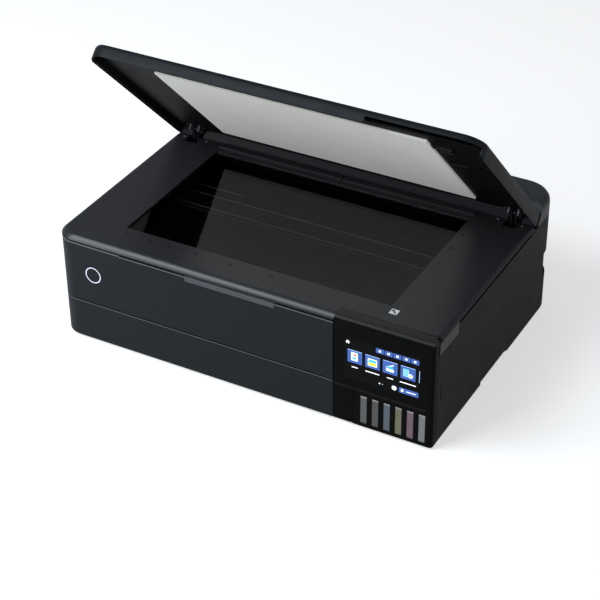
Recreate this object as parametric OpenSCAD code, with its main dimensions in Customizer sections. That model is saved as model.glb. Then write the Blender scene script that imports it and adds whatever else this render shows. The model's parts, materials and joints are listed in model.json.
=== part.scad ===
// Flatbed all-in-one ink tank printer: a printer base with trays, a lifting
// scanner unit, a hinged document lid and a tilting control panel.
// Origin: centre of the footprint on the floor. +X right, +Y rear, +Z up.

/* [Body] */
// Overall width of the casing
body_w = 523; // [500:1:560]
// Overall depth, from the front face to the back of the rear cover
body_d = 379; // [370:1:400]
// Height of the base casing, up to the scanner seam
base_top = 142.5; // [140:0.5:150]
// Height of the rubber feet
foot_h = 3; // [2:0.5:5]
// Wall thickness of the moulded casing
wall = 2.5; // [2:0.1:3]
// Radius of the front left corner, seen from above
front_corner_r = 27; // [15:1:35]
// Radius of the two rear corners, seen from above
rear_corner_r = 40; // [25:1:45]
// How far the rear cover stands out of the rear face
rear_bulge = 9; // [6:0.5:12]
// Radius of the rubber feet
foot_r = 8; // [5:0.5:10]

/* [Scanner] */
// Shadow gap between the base and the scanner unit
seam_gap = 1; // [0.8:0.1:1.5]
// Thickness of the scanner's top frame above the seam
frame_h = 5; // [4.5:0.1:6]
// Skin of the scanner's top frame over the glass
frame_skin = 2.2; // [1.8:0.1:2.6]
// Depth of the scanner case below the seam
case_depth = 24.5; // [22:0.5:26]
// Distance from the left face to the glass window
window_left = 74.5; // [68:0.5:90]
// Distance from the right face to the window
window_right = 80.5; // [76:0.5:96]
// Distance from the front face to the window
window_front = 52.3; // [46:0.1:70]
// Distance from the window to the rear edge of the scanner's top
window_back = 21.2; // [18:0.1:36]
// Thickness of the scan glass
glass_t = 2.9; // [2.5:0.1:3]
// Radius of the rod that carries the scan head
scan_rod_r = 3; // [2:0.25:4]
// Width of the scan head
scan_head_w = 26; // [20:1:30]
// Angle through which the scanner unit lifts
lift_max = 25; // [15:1:26]

/* [Lid] */
// Opening angle of the lid at rest
lid_open = 45.5; // [40:0.5:50]
// Height of the lid shell from rim to top
lid_h = 20; // [19:0.5:24]
// Distance from the front face to the closed lid's edge
lid_front_gap = 7.5; // [6:0.5:10]
// Radius of the lid's front corners
lid_corner_r = 25; // [15:1:30]
// Wall thickness of the lid
lid_wall = 2.2; // [1.8:0.1:2.4]
// How much narrower the document mat is than the window
mat_less_w = 2; // [0:0.5:20]
// How much deeper the document mat is than the window
mat_more_d = 2.5; // [-10:0.5:6]
// Thickness of the document mat
mat_t = 3; // [2:0.5:4]
// Radius of the lid hinge pins
lid_pin_r = 2.5; // [1.5:0.1:3]

/* [Front] */
// Height of the seam above the front cover
cover_top = 58; // [56:0.5:60]
// Angle through which the front cover opens
cover_swing = 90; // [70:1:90]
// Radius of the front cover's hinge pins
cover_pin_r = 2; // [1.5:0.1:2.5]
// Radius of the power button
button_r = 11.3; // [8:0.1:13]
// Travel of the power button
button_travel = 1; // [0.6:0.1:1.2]
// Distance from the left edge to the power button's centre
button_inset = 55.7; // [45:0.1:70]
// Width of the scanner's finger lip
lip_w = 122; // [80:1:150]
// Height of the finger lip below the seam
lip_h = 5.5; // [4:0.5:7]

/* [Ink unit] */
// Width of the black unit with the control panel and the ink tanks
unit_w = 130; // [126:1:134]
// Depth of the control panel
panel_depth = 20; // [18:0.5:21]
// Height of the control panel's lower edge
panel_z = 55.5; // [55:0.1:57]
// Height of the control panel's top
panel_top = 151.5; // [150.5:0.1:152.5]
// Width of the display
display_w = 98; // [80:1:104]
// Height of the display
display_h = 57; // [45:1:60]
// Number of ink tanks
tank_count = 6; // [4:1:6]
// Distance from one ink tank to the next
tank_pitch = 15.2; // [14.5:0.1:15.4]
// Width of an ink window
window_slot_w = 8.9; // [6:0.1:10]
// Height of an ink window
window_slot_h = 40; // [30:1:42]
// Radius of an ink tank's filler cap
cap_r = 5.5; // [4:0.1:6.5]
// Width of the card slot cover
card_w = 26; // [22:0.5:28]

/* [Paper path] */
// Space for the gears between the left cover and the trays
gear_space = 89.5; // [86:0.5:100]
// Space between the trays and the ink unit
bay_side = 33.5; // [30:0.5:50]
// Length of the lower cassette
cassette_len = 290; // [260:1:300]
// Length of the upper cassette
photo_cassette_len = 190; // [150:1:196]
// Length of each output tray stage
out_tray_len = 112; // [90:1:114]
// Thickness of the tray floors
tray_t = 2; // [1.6:0.1:2.4]
// Radius of the feed roller
feed_r = 6; // [5:0.25:7]
// Radius of the roller shafts
shaft_r = 4; // [3:0.25:4.5]
// Space between the rear paper slot and the scanner's hinge arms
slot_side = 30; // [24:0.5:40]
// Radius of the carriage guide rod
rod_r = 4; // [3:0.25:5]
// Width of the print carriage
carriage_w = 92; // [70:1:96]
// Module of the gear teeth
gear_m = 1; // [1:0.05:1.04]

/* [Hidden] */

// Overlap that joins two solids, and the thickness of a slice in a hull
eps = 0.01;
slice_t = 0.2;
// Clearance of a shaft in its hole, on the radius
run_gap = 0.06;
// Clearance between parts that move past each other
slide_gap = 0.5;
// Clearance between fixed covers
part_gap = 0.4;

// Faces of the casing
right = body_w / 2;
left = -right;
front = -body_d / 2;
rear = body_d / 2 - rear_bulge;
// Axis of the feed roller, from which the print mechanism is laid out
feed_y = front + 225.5;

// Colours
charcoal = "#2f3236";
black = "#161616";
steel = "#b9bcc0";

// ---- Outlines ------------------------------------------------------------

// The piece that a round corner takes off a square one; sx, sy point inwards
module corner_bite(x, y, sx, sy, r) {
    difference() {
        translate([sx > 0 ? x - eps : x - r, sy > 0 ? y - eps : y - r]) square(r + eps);
        translate([x + sx * r, y + sy * r]) circle(r, $fn = 64);
    }
}

// A rectangle from [x0, y0] to [x1, y1] with four corner radii:
// front left, front right, rear right, rear left
module round_rect(x0, y0, x1, y1, radii) {
    difference() {
        translate([x0, y0]) square([x1 - x0, y1 - y0]);
        if (radii[0] > 0) corner_bite(x0, y0, 1, 1, radii[0]);
        if (radii[1] > 0) corner_bite(x1, y0, -1, 1, radii[1]);
        if (radii[2] > 0) corner_bite(x1, y1, -1, -1, radii[2]);
        if (radii[3] > 0) corner_bite(x0, y1, 1, -1, radii[3]);
    }
}

// Footprint of the casing, moved inwards by inset on every side
module footprint(inset = 0) {
    round_rect(left + inset, front + inset, right - inset, rear - inset,
        [front_corner_r - inset, unit_corner_r, rear_corner_r - inset, rear_corner_r - inset]);
}
unit_corner_r = 4.5;

// Wall of the casing, seen from above
module casing_ring(t = wall) {
    difference() {
        footprint();
        footprint(t);
    }
}

module box(low, high) {
    translate(low) cube(high - low);
}

// A bar along X with a profile drawn as [y, z]
module along_x(x0, x1) {
    translate([x0, 0, 0]) rotate([90, 0, 90]) linear_extrude(x1 - x0) children();
}

module rod_x(x0, x1, y, z, r, fn = 48) {
    translate([x0, y, z]) rotate([0, 90, 0]) cylinder(h = x1 - x0, r = r, $fn = fn);
}

module rod_y(x, y0, y1, z, r, fn = 48) {
    translate([x, y1, z]) rotate([90, 0, 0]) cylinder(h = y1 - y0, r = r, $fn = fn);
}

// ---- Base casing -----------------------------------------------------------

// Front edge of the side covers, behind the wrapped front corner
side_front = front + front_corner_r + 2;
unit_left = right - unit_w;
floor_z = foot_h + tray_t + 0.5;
bay_left = left + gear_space;
bay_right = unit_left - bay_side;
bay_centre = (bay_left + bay_right) / 2;
rail_t = 2;
rail_ledge = 4;
lower_z = floor_z + slide_gap;
lower_h = 19.5;
upper_z = lower_z + lower_h + slide_gap * 2 + tray_t;
upper_h = 13.5;
out_z = upper_z + upper_h + slide_gap * 2 + tray_t;
out_h = 4;
cover_axis_y = front + wall + 4;
cover_axis_z = foot_h + 5.5;
cover_low = foot_h + 0.5;
cover_hinges = [bay_left - 20, bay_right + 18];
// The front cover wraps round the left corner as far as this
wrap_y = front + 14;
wrap_gap = 0.9;
seam_half = 0.5;
// Depth of the black unit on the right side
strip_depth = 11.5;
card_pan_gap = 8;

module base_pan() color(black) {
    pan_front = front + 14;
    difference() {
        union() {
            difference() {
                translate([0, 0, foot_h]) linear_extrude(floor_z - foot_h)
                    footprint(wall + part_gap);
                // The floor stops short of the folding front cover and the ink unit's face
                box([left - 1, front - 1, 0], [unit_left, pan_front, floor_z + 1]);
                box([left - 1, front - 1, 0], [card_right + part_gap, front + card_pan_gap, floor_z + 1]);
                box([unit_left + card_w - part_gap, front - 1, 0],
                    [unit_left + card_w + wall + part_gap, front + strip_depth + part_gap, floor_z + 1]);
            }
            // Rails that guide the trays, with a ledge under each one
            for (s = [-1, 1]) {
                x_face = s < 0 ? bay_left - slide_gap : bay_right + slide_gap;
                x_low = s < 0 ? x_face - rail_t : x_face;
                box([x_low, pan_front + 4, floor_z - eps], [x_low + rail_t, rail_rear, out_z + out_h]);
                for (z = [upper_z, out_z])
                    box([s < 0 ? x_face - eps : x_face - rail_ledge,
                        pan_front + 4, z - slide_gap - tray_t + 0.3],
                        [s < 0 ? x_face + rail_ledge : x_face + eps, rail_rear, z - slide_gap]);
            }
            // Lugs of the front cover's hinge
            for (x = cover_hinges) {
                box([x - 3, cover_axis_y, cover_axis_z - 2.5], [x + 3, pan_front + 2, cover_axis_z + 2.5]);
                box([x - 3, pan_front, foot_h], [x + 3, pan_front + 5, cover_axis_z + 2.5]);
                rod_x(x - 3, x + 3, cover_axis_y, cover_axis_z, cover_pin_r + 1.5);
            }
        }
        for (x = cover_hinges)
            rod_x(x - 4, x + 4, cover_axis_y, cover_axis_z, cover_pin_r + run_gap);
    }
}
rail_rear = feed_y + 18;

module rubber_feet() color("#0c0c0c") {
    inset = 38;
    for (x = [left + inset, right - inset], y = [front + inset, rear - inset])
        translate([x, y, 0]) cylinder(h = foot_h, r = foot_r, $fn = 48);
    for (x = [left + inset, right - inset])
        translate([x, feed_y - 6, 0]) cylinder(h = foot_h, r = foot_r, $fn = 48);
}

// Hand grip let into a rear corner
grip_low = 53;
grip_high = 87;
grip_depth = 5;
module grip_zone(extra) {
    translate([0, 0, grip_low - extra]) linear_extrude(grip_high - grip_low + 2 * extra)
        children();
}
hand_y = feed_y - 85;
hand_w = 87;
hand_h = 4.2;
module side_shell(x0, x1, y0) {
    difference() {
        translate([0, 0, foot_h]) linear_extrude(base_top - foot_h)
            intersection() {
                casing_ring();
                translate([x0, y0]) square([x1 - x0, body_d]);
            }
        grip_zone(0) intersection() {
            casing_ring(grip_depth);
            translate([x0, rear - rear_corner_r]) square([x1 - x0, rear_corner_r + 1]);
        }
        // Hand recess in the lower edge
        along_x(x0, x1) polygon([[hand_y, foot_h - 1], [hand_y + 1, foot_h + hand_h],
            [hand_y + hand_w - 15, foot_h + hand_h], [hand_y + hand_w, foot_h - 1]]);
    }
    // The grip's floor, with its upper and lower lips
    grip_zone(wall) intersection() {
        difference() {
            footprint(grip_depth);
            footprint(grip_depth + wall);
        }
        translate([x0, rear - rear_corner_r - wall]) square([x1 - x0, rear_corner_r + wall]);
    }
    for (z = [grip_low - wall, grip_high])
        translate([0, 0, z]) linear_extrude(wall) intersection() {
            difference() {
                footprint(wall - eps);
                footprint(grip_depth + eps);
            }
            translate([x0, rear - rear_corner_r - wall]) square([x1 - x0, rear_corner_r + wall]);
        }
    // Front end of the grip
    x_face = x0 < 0 ? left : right - grip_depth - wall;
    box([x_face + (x0 < 0 ? wall - eps : 0), rear - rear_corner_r - wall, grip_low - wall],
        [x_face + grip_depth + (x0 < 0 ? wall : eps), rear - rear_corner_r, grip_high + wall]);
}
panel_x = right - rear_corner_r;

module left_cover() color(charcoal) difference() {
    side_shell(left - 1, -panel_x, wrap_y + wrap_gap);
    // Above the seam the front fascia wraps further round
    box([left - 1, front, cover_top], [left + front_corner_r, side_front, base_top + 1]);
}

// The right cover's top edge drops beside the scanner's front end
step_y = front + 66;
step_drop = 16;
side_slit_y = front + 20;
side_slit_z = 63;
module right_cover() color(charcoal) difference() {
    side_shell(panel_x, right + 1, front + strip_depth + part_gap);
    box([right - 2 * wall, front, base_top - step_drop], [right + 1, step_y, base_top + 1]);
    // Slit beside the control panel
    box([right - 2 * wall, side_slit_y, side_slit_z], [right + 1, side_slit_y + 2, side_slit_z + 20]);
}

// Openings in the rear panel, as [x0, x1, z0, z1]
rear_cover_box = [left + 121.5, right - 121.5, 26, 112];
box_bay = [right - 93.5, right - 47.5, 14, 62];
inlet_box = [left + 47.5, left + 79.5, 16, 44];
port_box = [left + 47.5, left + 91.5, 70, 92];
vent_x = left + 55.5;
module wall_hole(b, gap = 0) {
    box([b[0] - gap, rear - 3 * wall, b[2] - gap], [b[1] + gap, rear + 1, b[3] + gap]);
}
module rear_panel() color(charcoal) difference() {
    translate([0, 0, foot_h]) linear_extrude(base_top - foot_h)
        intersection() {
            casing_ring();
            translate([-panel_x, rear - 2 * wall]) square([2 * panel_x, body_d]);
        }
    wall_hole(rear_cover_box, slide_gap);
    wall_hole(box_bay, slide_gap);
    wall_hole(inlet_box);
    wall_hole(port_box);
    // Cooling slots
    for (i = [0:9])
        box([vent_x + i * 6, rear - 3 * wall, 102], [vent_x + i * 6 + 3, rear + 1, 128]);
}

lip_x = -9;
button_x = left + button_inset;
button_z = 101.5;
module front_fascia() color(charcoal) difference() {
    translate([0, 0, cover_top + seam_half]) linear_extrude(base_top - cover_top - seam_half)
        intersection() {
            casing_ring();
            translate([left - 1, front - 1])
            square([unit_left - part_gap - left + 1, side_front - part_gap - front + 1]);
        }
    rod_y(button_x, front - 1, front + 2 * wall, button_z, button_r + 0.3);
    // Recess for the finger lip
    box([lip_x - lip_w / 2 - 1, front - 1, base_top - lip_h - 1.5],
        [lip_x + lip_w / 2 + 1, front + 2 * wall, base_top + 1]);
}

module power_button() color("#26292c") {
    rod_y(button_x, front, front + wall + 1.6, button_z, button_r);
    rod_y(button_x, front + wall + 1.4, front + wall + 3, button_z, button_r + 1.8);
}

// ---- Front cover and trays --------------------------------------------------

module front_cover() color(charcoal) {
        difference() {
            translate([0, 0, cover_low]) linear_extrude(cover_top - seam_half - cover_low)
                intersection() {
                    casing_ring();
                    translate([left - 1, front - 1])
                        square([unit_left - part_gap - left + 1, wrap_y - front + 1]);
                }
            // The wrapped end is cut short low down, where it swings back
            box([left - 1, wrap_y - 2.1, foot_h], [left + front_corner_r, wrap_y + 1, cover_axis_z]);
        }
        // Knuckles on the hinge pins, each side of the base's lugs
        for (x = cover_hinges, s = [-1, 1]) {
            x0 = s > 0 ? x + 3.5 : x - 7.5;
            box([x0, front + wall - eps, cover_axis_z - 3.5], [x0 + 4, cover_axis_y, cover_axis_z + 3.5]);
            rod_x(x0, x0 + 4, cover_axis_y, cover_axis_z, 3.5);
        }
        for (x = cover_hinges) rod_x(x - 5, x + 5, cover_axis_y, cover_axis_z, cover_pin_r);
        // Ribs behind the cover's face
        for (x = cover_hinges, s = [-10, 9])
            box([x + s, front + wall - eps, foot_h + 8], [x + s + 1.5, front + wall + 4, cover_top - 4]);
}

// A tray between the rails: floor, walls, a bevelled front and a finger notch
tray_front = front + 12;
module tray(len, z, h, lip, bevel) {
    w = tray_t;
    y0 = tray_front;
    difference() {
        along_x(bay_left, bay_right)
            polygon([[y0, z + bevel * 0.7], [y0 + bevel, z], [y0 + len, z], [y0 + len, z + h], [y0, z + h]]);
        along_x(bay_left + w, bay_right - w)
            polygon([[y0 + w, z + bevel * 0.7 + w], [y0 + w + bevel, z + w], [y0 + len - w, z + w],
                [y0 + len - w, z + h + 1], [y0 + w, z + h + 1]]);
        box([bay_centre - 30, y0 - 1, z + h - lip], [bay_centre + 30, y0 + w + 1, z + h + 1]);
    }
}
module lower_cassette() color(black) {
    tray(cassette_len, lower_z, lower_h, 6, 15);
    // Edge guides inside the cassette
    for (x = [bay_left + 27, bay_right - 29])
        box([x, front + 120, lower_z + tray_t - eps], [x + 2, front + 180, lower_z + lower_h - 2]);
}
module upper_cassette() color(black) {
    tray(photo_cassette_len, upper_z, upper_h, 5, 3);
    for (x = [bay_centre - 66, bay_centre + 64])
        box([x, front + 60, upper_z + tray_t - eps], [x + 2, front + 110, upper_z + upper_h - 2]);
}

// Output tray: two plates, the second inside the first
out_front = front + 22;
module output_tray() color(black) difference() {
    box([bay_left, out_front, out_z], [bay_right, out_front + out_tray_len, out_z + out_h]);
    box([bay_left + 6, out_front - 1, out_z + 0.8],
        [bay_right - 6, out_front + out_tray_len - 4, out_z + out_h + 1]);
}
module output_tray_extension() color(black) {
    y1 = out_front + out_tray_len - 4 - slide_gap;
    difference() {
        union() {
            box([bay_left + 6 + slide_gap, out_front - 3, out_z + 0.8 + slide_gap],
                [bay_right - 6 - slide_gap, y1, out_z + out_h - 0.4]);
            // Pull lip at the front edge
            box([bay_left + 8, out_front - 3, out_z + 0.8 + slide_gap],
                [bay_right - 8, out_front - 0.6, out_z + out_h + 3]);
        }
        for (i = [0:4]) box([bay_left + 36 + i * 44, out_front + 14, out_z],
            [bay_left + 56 + i * 44, y1 - 18, out_z + out_h]);
    }
}

// ---- Ink unit ---------------------------------------------------------------

unit_top = panel_z - 0.8;
unit_face = front + wall;
first_tank = unit_left + 40.4;
function tank_x(i) = first_tank + i * tank_pitch;
slot_z = foot_h + 5;
card_left = unit_left + 0.4;
card_right = card_left + card_w - 0.9;

// The bay wall stands behind the control panel
bay_wall = front + panel_depth + 1.6;
bay_wall_t = 1.8;
bay_top = 114;
module tank_bezel() color(black) difference() {
    union() {
        translate([0, 0, foot_h + 0.2]) linear_extrude(unit_top - foot_h - 0.2) difference() {
            round_rect(unit_left + card_w, front, right, front + strip_depth, [0, unit_corner_r, 0, 0]);
            round_rect(unit_left + card_w + wall, front + wall, right - wall, front + strip_depth + 1,
                [0, unit_corner_r - wall, 0, 0]);
        }
        // Roof under the control panel
        box([unit_left + card_w, front + wall - eps, unit_top - 2],
            [right - wall, bay_wall + bay_wall_t, unit_top]);
        box([unit_left + 1, bay_wall, unit_top - 2], [right - wall, bay_wall + bay_wall_t, bay_top]);
        // Arms that carry the control panel's pins
        for (x = panel_slots) along_x(x + 2, x + pin_slot_w - 2) union() {
            translate([panel_axis_y, panel_axis_z]) circle(arm_r, $fn = 48);
            polygon([[bay_wall + eps, unit_top], [bay_wall + bay_wall_t, unit_top],
                [bay_wall + bay_wall_t, panel_axis_z - arm_top],
                [panel_axis_y + arm_r, panel_axis_z - arm_top],
                [panel_axis_y + arm_r, panel_axis_z], [panel_axis_y - arm_r, panel_axis_z],
                [panel_axis_y - arm_r, panel_axis_z - arm_low], [bay_wall + eps, panel_axis_z - arm_low]]);
        }
    }
    rod_x(unit_left, right - wall, panel_axis_y, panel_axis_z, panel_pin_r + run_gap);
    for (i = [0:tank_count - 1])
        box([tank_x(i) - window_slot_w / 2, front - 1, slot_z],
            [tank_x(i) + window_slot_w / 2, front + wall + 1, slot_z + window_slot_h]);
}
module tank_windows() color("#8d9299", 0.6) {
    for (i = [0:tank_count - 1])
        box([tank_x(i) - window_slot_w / 2, front + 0.8, slot_z],
            [tank_x(i) + window_slot_w / 2, front + wall, slot_z + window_slot_h]);
}

tank_w = tank_pitch - 2;
tank_low_front = front + wall + 1;
tank_front = bay_wall + bay_wall_t + 1;
tank_rear = tank_front + 72;
tank_top = 100;
module ink_tanks() color("#3a4048") {
    for (i = [0:tank_count - 1])
        difference() {
            along_x(tank_x(i) - tank_w / 2, tank_x(i) + tank_w / 2)
                polygon([[tank_low_front, floor_z], [tank_rear, floor_z],
                    [tank_rear, tank_top - 6], [tank_rear - 6, tank_top], [tank_front, tank_top],
                    [tank_front, unit_top - 4], [tank_low_front, unit_top - 4]]);
            translate([tank_x(i), tank_front + 22, tank_top - 8])
                cylinder(h = 10, r = 3.2, $fn = 32);
        }
}
module tank_caps() color("#1d1f22") {
    for (i = [0:tank_count - 1]) translate([tank_x(i), tank_front + 22, tank_top]) {
        cylinder(h = 8, r = cap_r, $fn = 40);
        translate([0, 0, -5]) cylinder(h = 5 + eps, r = 3, $fn = 32);
    }
}

tank_hinge_y = tank_rear + 6;
tank_hinge_z = tank_top + 12.5;
module tank_cover() color(black) {
    x0 = tank_x(0) - tank_pitch / 2;
    x1 = tank_x(tank_count - 1) + tank_pitch / 2 - 2;
    difference() {
        union() {
            box([x0, tank_front - 0.5, tank_hinge_z - 1.25], [x1, tank_hinge_y - 1, tank_hinge_z + 1.25]);
            rod_x(x0 + 3, x1 - 3, tank_hinge_y, tank_hinge_z, 2.2);
            box([x0 + 3, tank_hinge_y - 2, tank_hinge_z - 1.25], [x1 - 3, tank_hinge_y, tank_hinge_z + 1.25]);
        }
        for (i = [0:tank_count - 1])
            box([tank_x(i) - 4, tank_front + 6, tank_hinge_z + 0.5],
                [tank_x(i) + 4, tank_front + 40, tank_hinge_z + 2]);
    }
}

card_axis_z = foot_h + 4;
card_t = 2;
card_axis_y = front + card_t + 2.6;
card_cheek_r = 2.2;
module card_cover() color(black) {
    box([card_left, front, foot_h + 0.7], [card_right, front + card_t, unit_top]);
    box([card_left + 6, front + card_t - eps, card_axis_z - 1.8],
        [card_right - 6, card_axis_y, card_axis_z + 1.8]);
    rod_x(card_left + 6, card_right - 6, card_axis_y, card_axis_z, 1.8);
    rod_x(card_left + 2, card_right - 2, card_axis_y, card_axis_z, 1.2);
}
module card_reader() color("#222427") difference() {
    union() {
        for (x = [card_left + 2, card_right - 5]) {
            box([x, card_axis_y, floor_z], [x + 3, front + 12, card_axis_z + 2]);
            rod_x(x, x + 3, card_axis_y, card_axis_z, card_cheek_r);
        }
        box([card_left + 2, front + card_pan_gap, card_axis_z + 5],
            [card_right - 2, front + 48, unit_top - 3]);
        box([card_left + 2, front + card_pan_gap, floor_z], [card_right - 2, front + 12, card_axis_z + 6]);
    }
    rod_x(card_left, card_right, card_axis_y, card_axis_z, 1.2 + run_gap);
    // Memory card slot
    box([card_slot_x - 1.4, front + 7, 20], [card_slot_x + 1.4, front + 40, 45]);
}
card_slot_x = (card_left + card_right) / 2;

// ---- Control panel ------------------------------------------------------------

panel_round = 8;
panel_rear_round = 5;
panel_axis_y = front + panel_round;
panel_axis_z = panel_top - panel_round;
panel_pin_r = 1.8;
arm_r = 3.6;
pin_slot_w = 10;
panel_inner = right - wall - 1.4;
panel_slots = [unit_left + 6, panel_inner - 1.7 - pin_slot_w];
panel_left = unit_left + 0.3;
panel_right = right;
arm_gap = 0.6;
arm_top = 7;
arm_low = 12;
// Slit in the top's rear edge
slit_w = 17;
slit_d = 4;
display_x = panel_left + 14 + display_w / 2;
display_z = panel_z + 13.5 + display_h / 2;
module panel_profile() {
    difference() {
        polygon([[front, panel_z], [front + panel_depth - 6.5, panel_z], [front + panel_depth, panel_z + 14],
            [front + panel_depth, panel_top], [front, panel_top]]);
        corner_bite(front, panel_top, 1, -1, panel_round);
        corner_bite(front + panel_depth, panel_top, -1, -1, panel_rear_round);
    }
}
module panel_housing() color(black) {
    intersection() {
        panel_body();
        box([panel_left - 1, front - 1, 0], [right + 1, front + strip_depth, panel_top + 1]);
    }
    // Pins on which the control panel tilts
    for (x = panel_slots) rod_x(x - 1, x + pin_slot_w + 1, panel_axis_y, panel_axis_z, panel_pin_r);
}
module panel_back() color(black) intersection() {
    panel_body();
    box([panel_left - 1, front + strip_depth, 0], [panel_inner, front + panel_depth + 1, panel_top + 1]);
}
module panel_body() difference() {
    intersection() {
        along_x(panel_left, panel_right) panel_profile();
        linear_extrude(panel_top + 10) difference() {
            round_rect(panel_left, front, panel_right, front + panel_depth + 10, [1, unit_corner_r, 0, 0]);
            translate([panel_inner, front + strip_depth]) square(panel_depth);
        }
    }
    // Seat of the display
    box([display_x - display_w / 2, front - 1, display_z - display_h / 2],
        [display_x + display_w / 2, front + 1.6, display_z + display_h / 2]);
    // Slots for the two hinge arms
    for (x = panel_slots)
        box([x, panel_axis_y - arm_r - arm_gap, panel_axis_z - arm_low - 1.5],
            [x + pin_slot_w, front + panel_depth + 1, panel_axis_z + arm_r + arm_gap]);
    box([panel_inner - slit_w, front + panel_depth - slit_d, panel_axis_z],
        [panel_inner - 1.7, front + panel_depth + 1, panel_top + 1]);
}
module display() color("#050608")
    box([display_x - display_w / 2 + 0.1, front + 0.3, display_z - display_h / 2 + 0.1],
        [display_x + display_w / 2 - 0.1, front + 1.6, display_z + display_h / 2 - 0.1]);

// ---- Print mechanism ------------------------------------------------------------

frame_left = left + 50;
frame_right = unit_left + 17.5;
plate_t = 1.5;
feed_z = 68;
exit_y = feed_y - 94;
exit_z = 66;
pick_r = 11;
feed_teeth = 48;
pick_teeth = 24;
pinion_teeth = 12;
mesh = gear_m * (feed_teeth + pick_teeth) / 2;
pick_y = feed_y + mesh * cos(45);
pick_z = feed_z - mesh * sin(45);
pinion_reach = gear_m * (feed_teeth + pinion_teeth) / 2;
pinion_angle = 120;
pinion_y = feed_y + pinion_reach * cos(pinion_angle);
pinion_z = feed_z + pinion_reach * sin(pinion_angle);
mech_top = base_top + seam_gap - case_depth - 3;

module print_frame() color(steel) {
    frame_plates();
    guide_beam();
}
module frame_plates() difference() {
    for (x = [frame_left, frame_right]) {
        box([x, feed_y - 110, out_z + out_h + 3], [x + plate_t, feed_y + 60, mech_top]);
        for (leg = [[-110, -96], [14, 42]])
            box([x, feed_y + leg[0], floor_z], [x + plate_t, feed_y + leg[1], out_z + out_h + 4]);
    }
    for (a = [[feed_y, feed_z, shaft_r], [exit_y, exit_z, shaft_r], [pick_y, pick_z, pick_shaft_r]])
        rod_x(frame_left - 1, frame_right + 3, a[0], a[1], a[2] + run_gap);
    rod_x(frame_left - 1, frame_right + 3, rod_y0, rod_z0, rod_r);
}
pick_shaft_r = 2.5;
rod_y0 = feed_y - 12;
rod_z0 = 96;

beam_y = feed_y + 13;
beam_low = 84;
beam_x0 = frame_left + plate_t - eps;
beam_x1 = frame_right + eps;
module guide_beam() difference() {
    union() {
        box([beam_x0, beam_y, beam_low], [beam_x1, beam_y + plate_t, mech_top]);
        box([beam_x0, beam_y, mech_top - plate_t], [beam_x1, beam_y + 14, mech_top]);
        box([beam_x0, beam_y, beam_low], [beam_x1, beam_y + 12, beam_low + plate_t]);
        // Pin of the idler pulley
        rod_y(idler_x, belt_y - 1, beam_y + eps, belt_z, 2.5);
    }
    rod_y(drive_x, beam_y - 1, beam_y + plate_t + 1, belt_z, 2 + run_gap);
}
module carriage_rod() color("#d8dadd")
    rod_x(frame_left - 1, frame_right + plate_t + 1, rod_y0, rod_z0, rod_r);

module platen() color("#101112") {
    box([frame_left + plate_t, feed_y - 82, feed_z - 8], [frame_right, feed_y - 10, feed_z - 2]);
    for (x = [bay_left + 10 : 20 : bay_right - 10])
        box([x, feed_y - 82, feed_z - 2 - eps], [x + 2, feed_y - 10, feed_z + 2]);
}

// Straight-flanked gear lying in the YZ plane, teeth on a pitch circle of teeth * m / 2
module gear(teeth, m, phase, thick, bore) {
    pr = teeth * m / 2;
    root = pr - 1.15 * m;
    tip = pr + 0.9 * m;
    half_root = (PI * m / 2 - 0.3) / 2 + 0.25 * m;
    half_tip = 0.3 * m;
    rotate([90, 0, 90]) linear_extrude(thick) difference() {
        union() {
            circle(root, $fn = 96);
            for (i = [0:teeth - 1]) rotate(phase + i * 360 / teeth)
                polygon([[root - 0.4, -half_root], [tip, -half_tip],
                    [tip, half_tip], [root - 0.4, half_root]]);
        }
        if (bore > 0) circle(bore, $fn = 48);
    }
}
gear_x = frame_left - 8;
gear_t = 6;
module feed_roller() color("#3b3d40") {
    rod_x(frame_left - 9, frame_right + 3, feed_y, feed_z, shaft_r);
    rod_x(bay_left - 10, bay_right + 10, feed_y, feed_z, feed_r);
    translate([gear_x, feed_y, feed_z]) gear(feed_teeth, gear_m, 0, gear_t, shaft_r - eps);
}
module exit_roller() color("#8c8f93") {
    rod_x(frame_left - 9, frame_right + 3, exit_y, exit_z, shaft_r);
    for (x = [bay_left + 20 : 46 : bay_right - 20]) rod_x(x, x + 12, exit_y, exit_z, feed_r - 1);
}
// A gap of the pickup gear faces the feed gear
module pickup_roller() color("#303236") {
    rod_x(frame_left - 9, frame_right + 3, pick_y, pick_z, pick_shaft_r);
    rod_x(bay_centre - 16, bay_centre + 16, pick_y, pick_z, pick_r);
    translate([gear_x, pick_y, pick_z])
        gear(pick_teeth, gear_m, 135 + 180 / pick_teeth, gear_t, pick_shaft_r - eps);
}
module motor_pinion() color("#c9a24a") {
    translate([gear_x, pinion_y, pinion_z])
        gear(pinion_teeth, gear_m, pinion_angle + 180 + 180 / pinion_teeth, gear_t, 0);
    rod_x(gear_x - 4, gear_x + eps, pinion_y, pinion_z, 2);
}
motor_r = 13;
module feed_motor() color("#9a9da1") difference() {
    union() {
        rod_x(gear_x - 31, gear_x - 3, pinion_y, pinion_z, motor_r);
        // Bracket that stands on the base
        box([gear_x - 20, pinion_y - 9, floor_z], [gear_x - 17, pinion_y + 9, pinion_z]);
    }
    rod_x(gear_x - 6, gear_x, pinion_y, pinion_z, 2 + run_gap);
}

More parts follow.
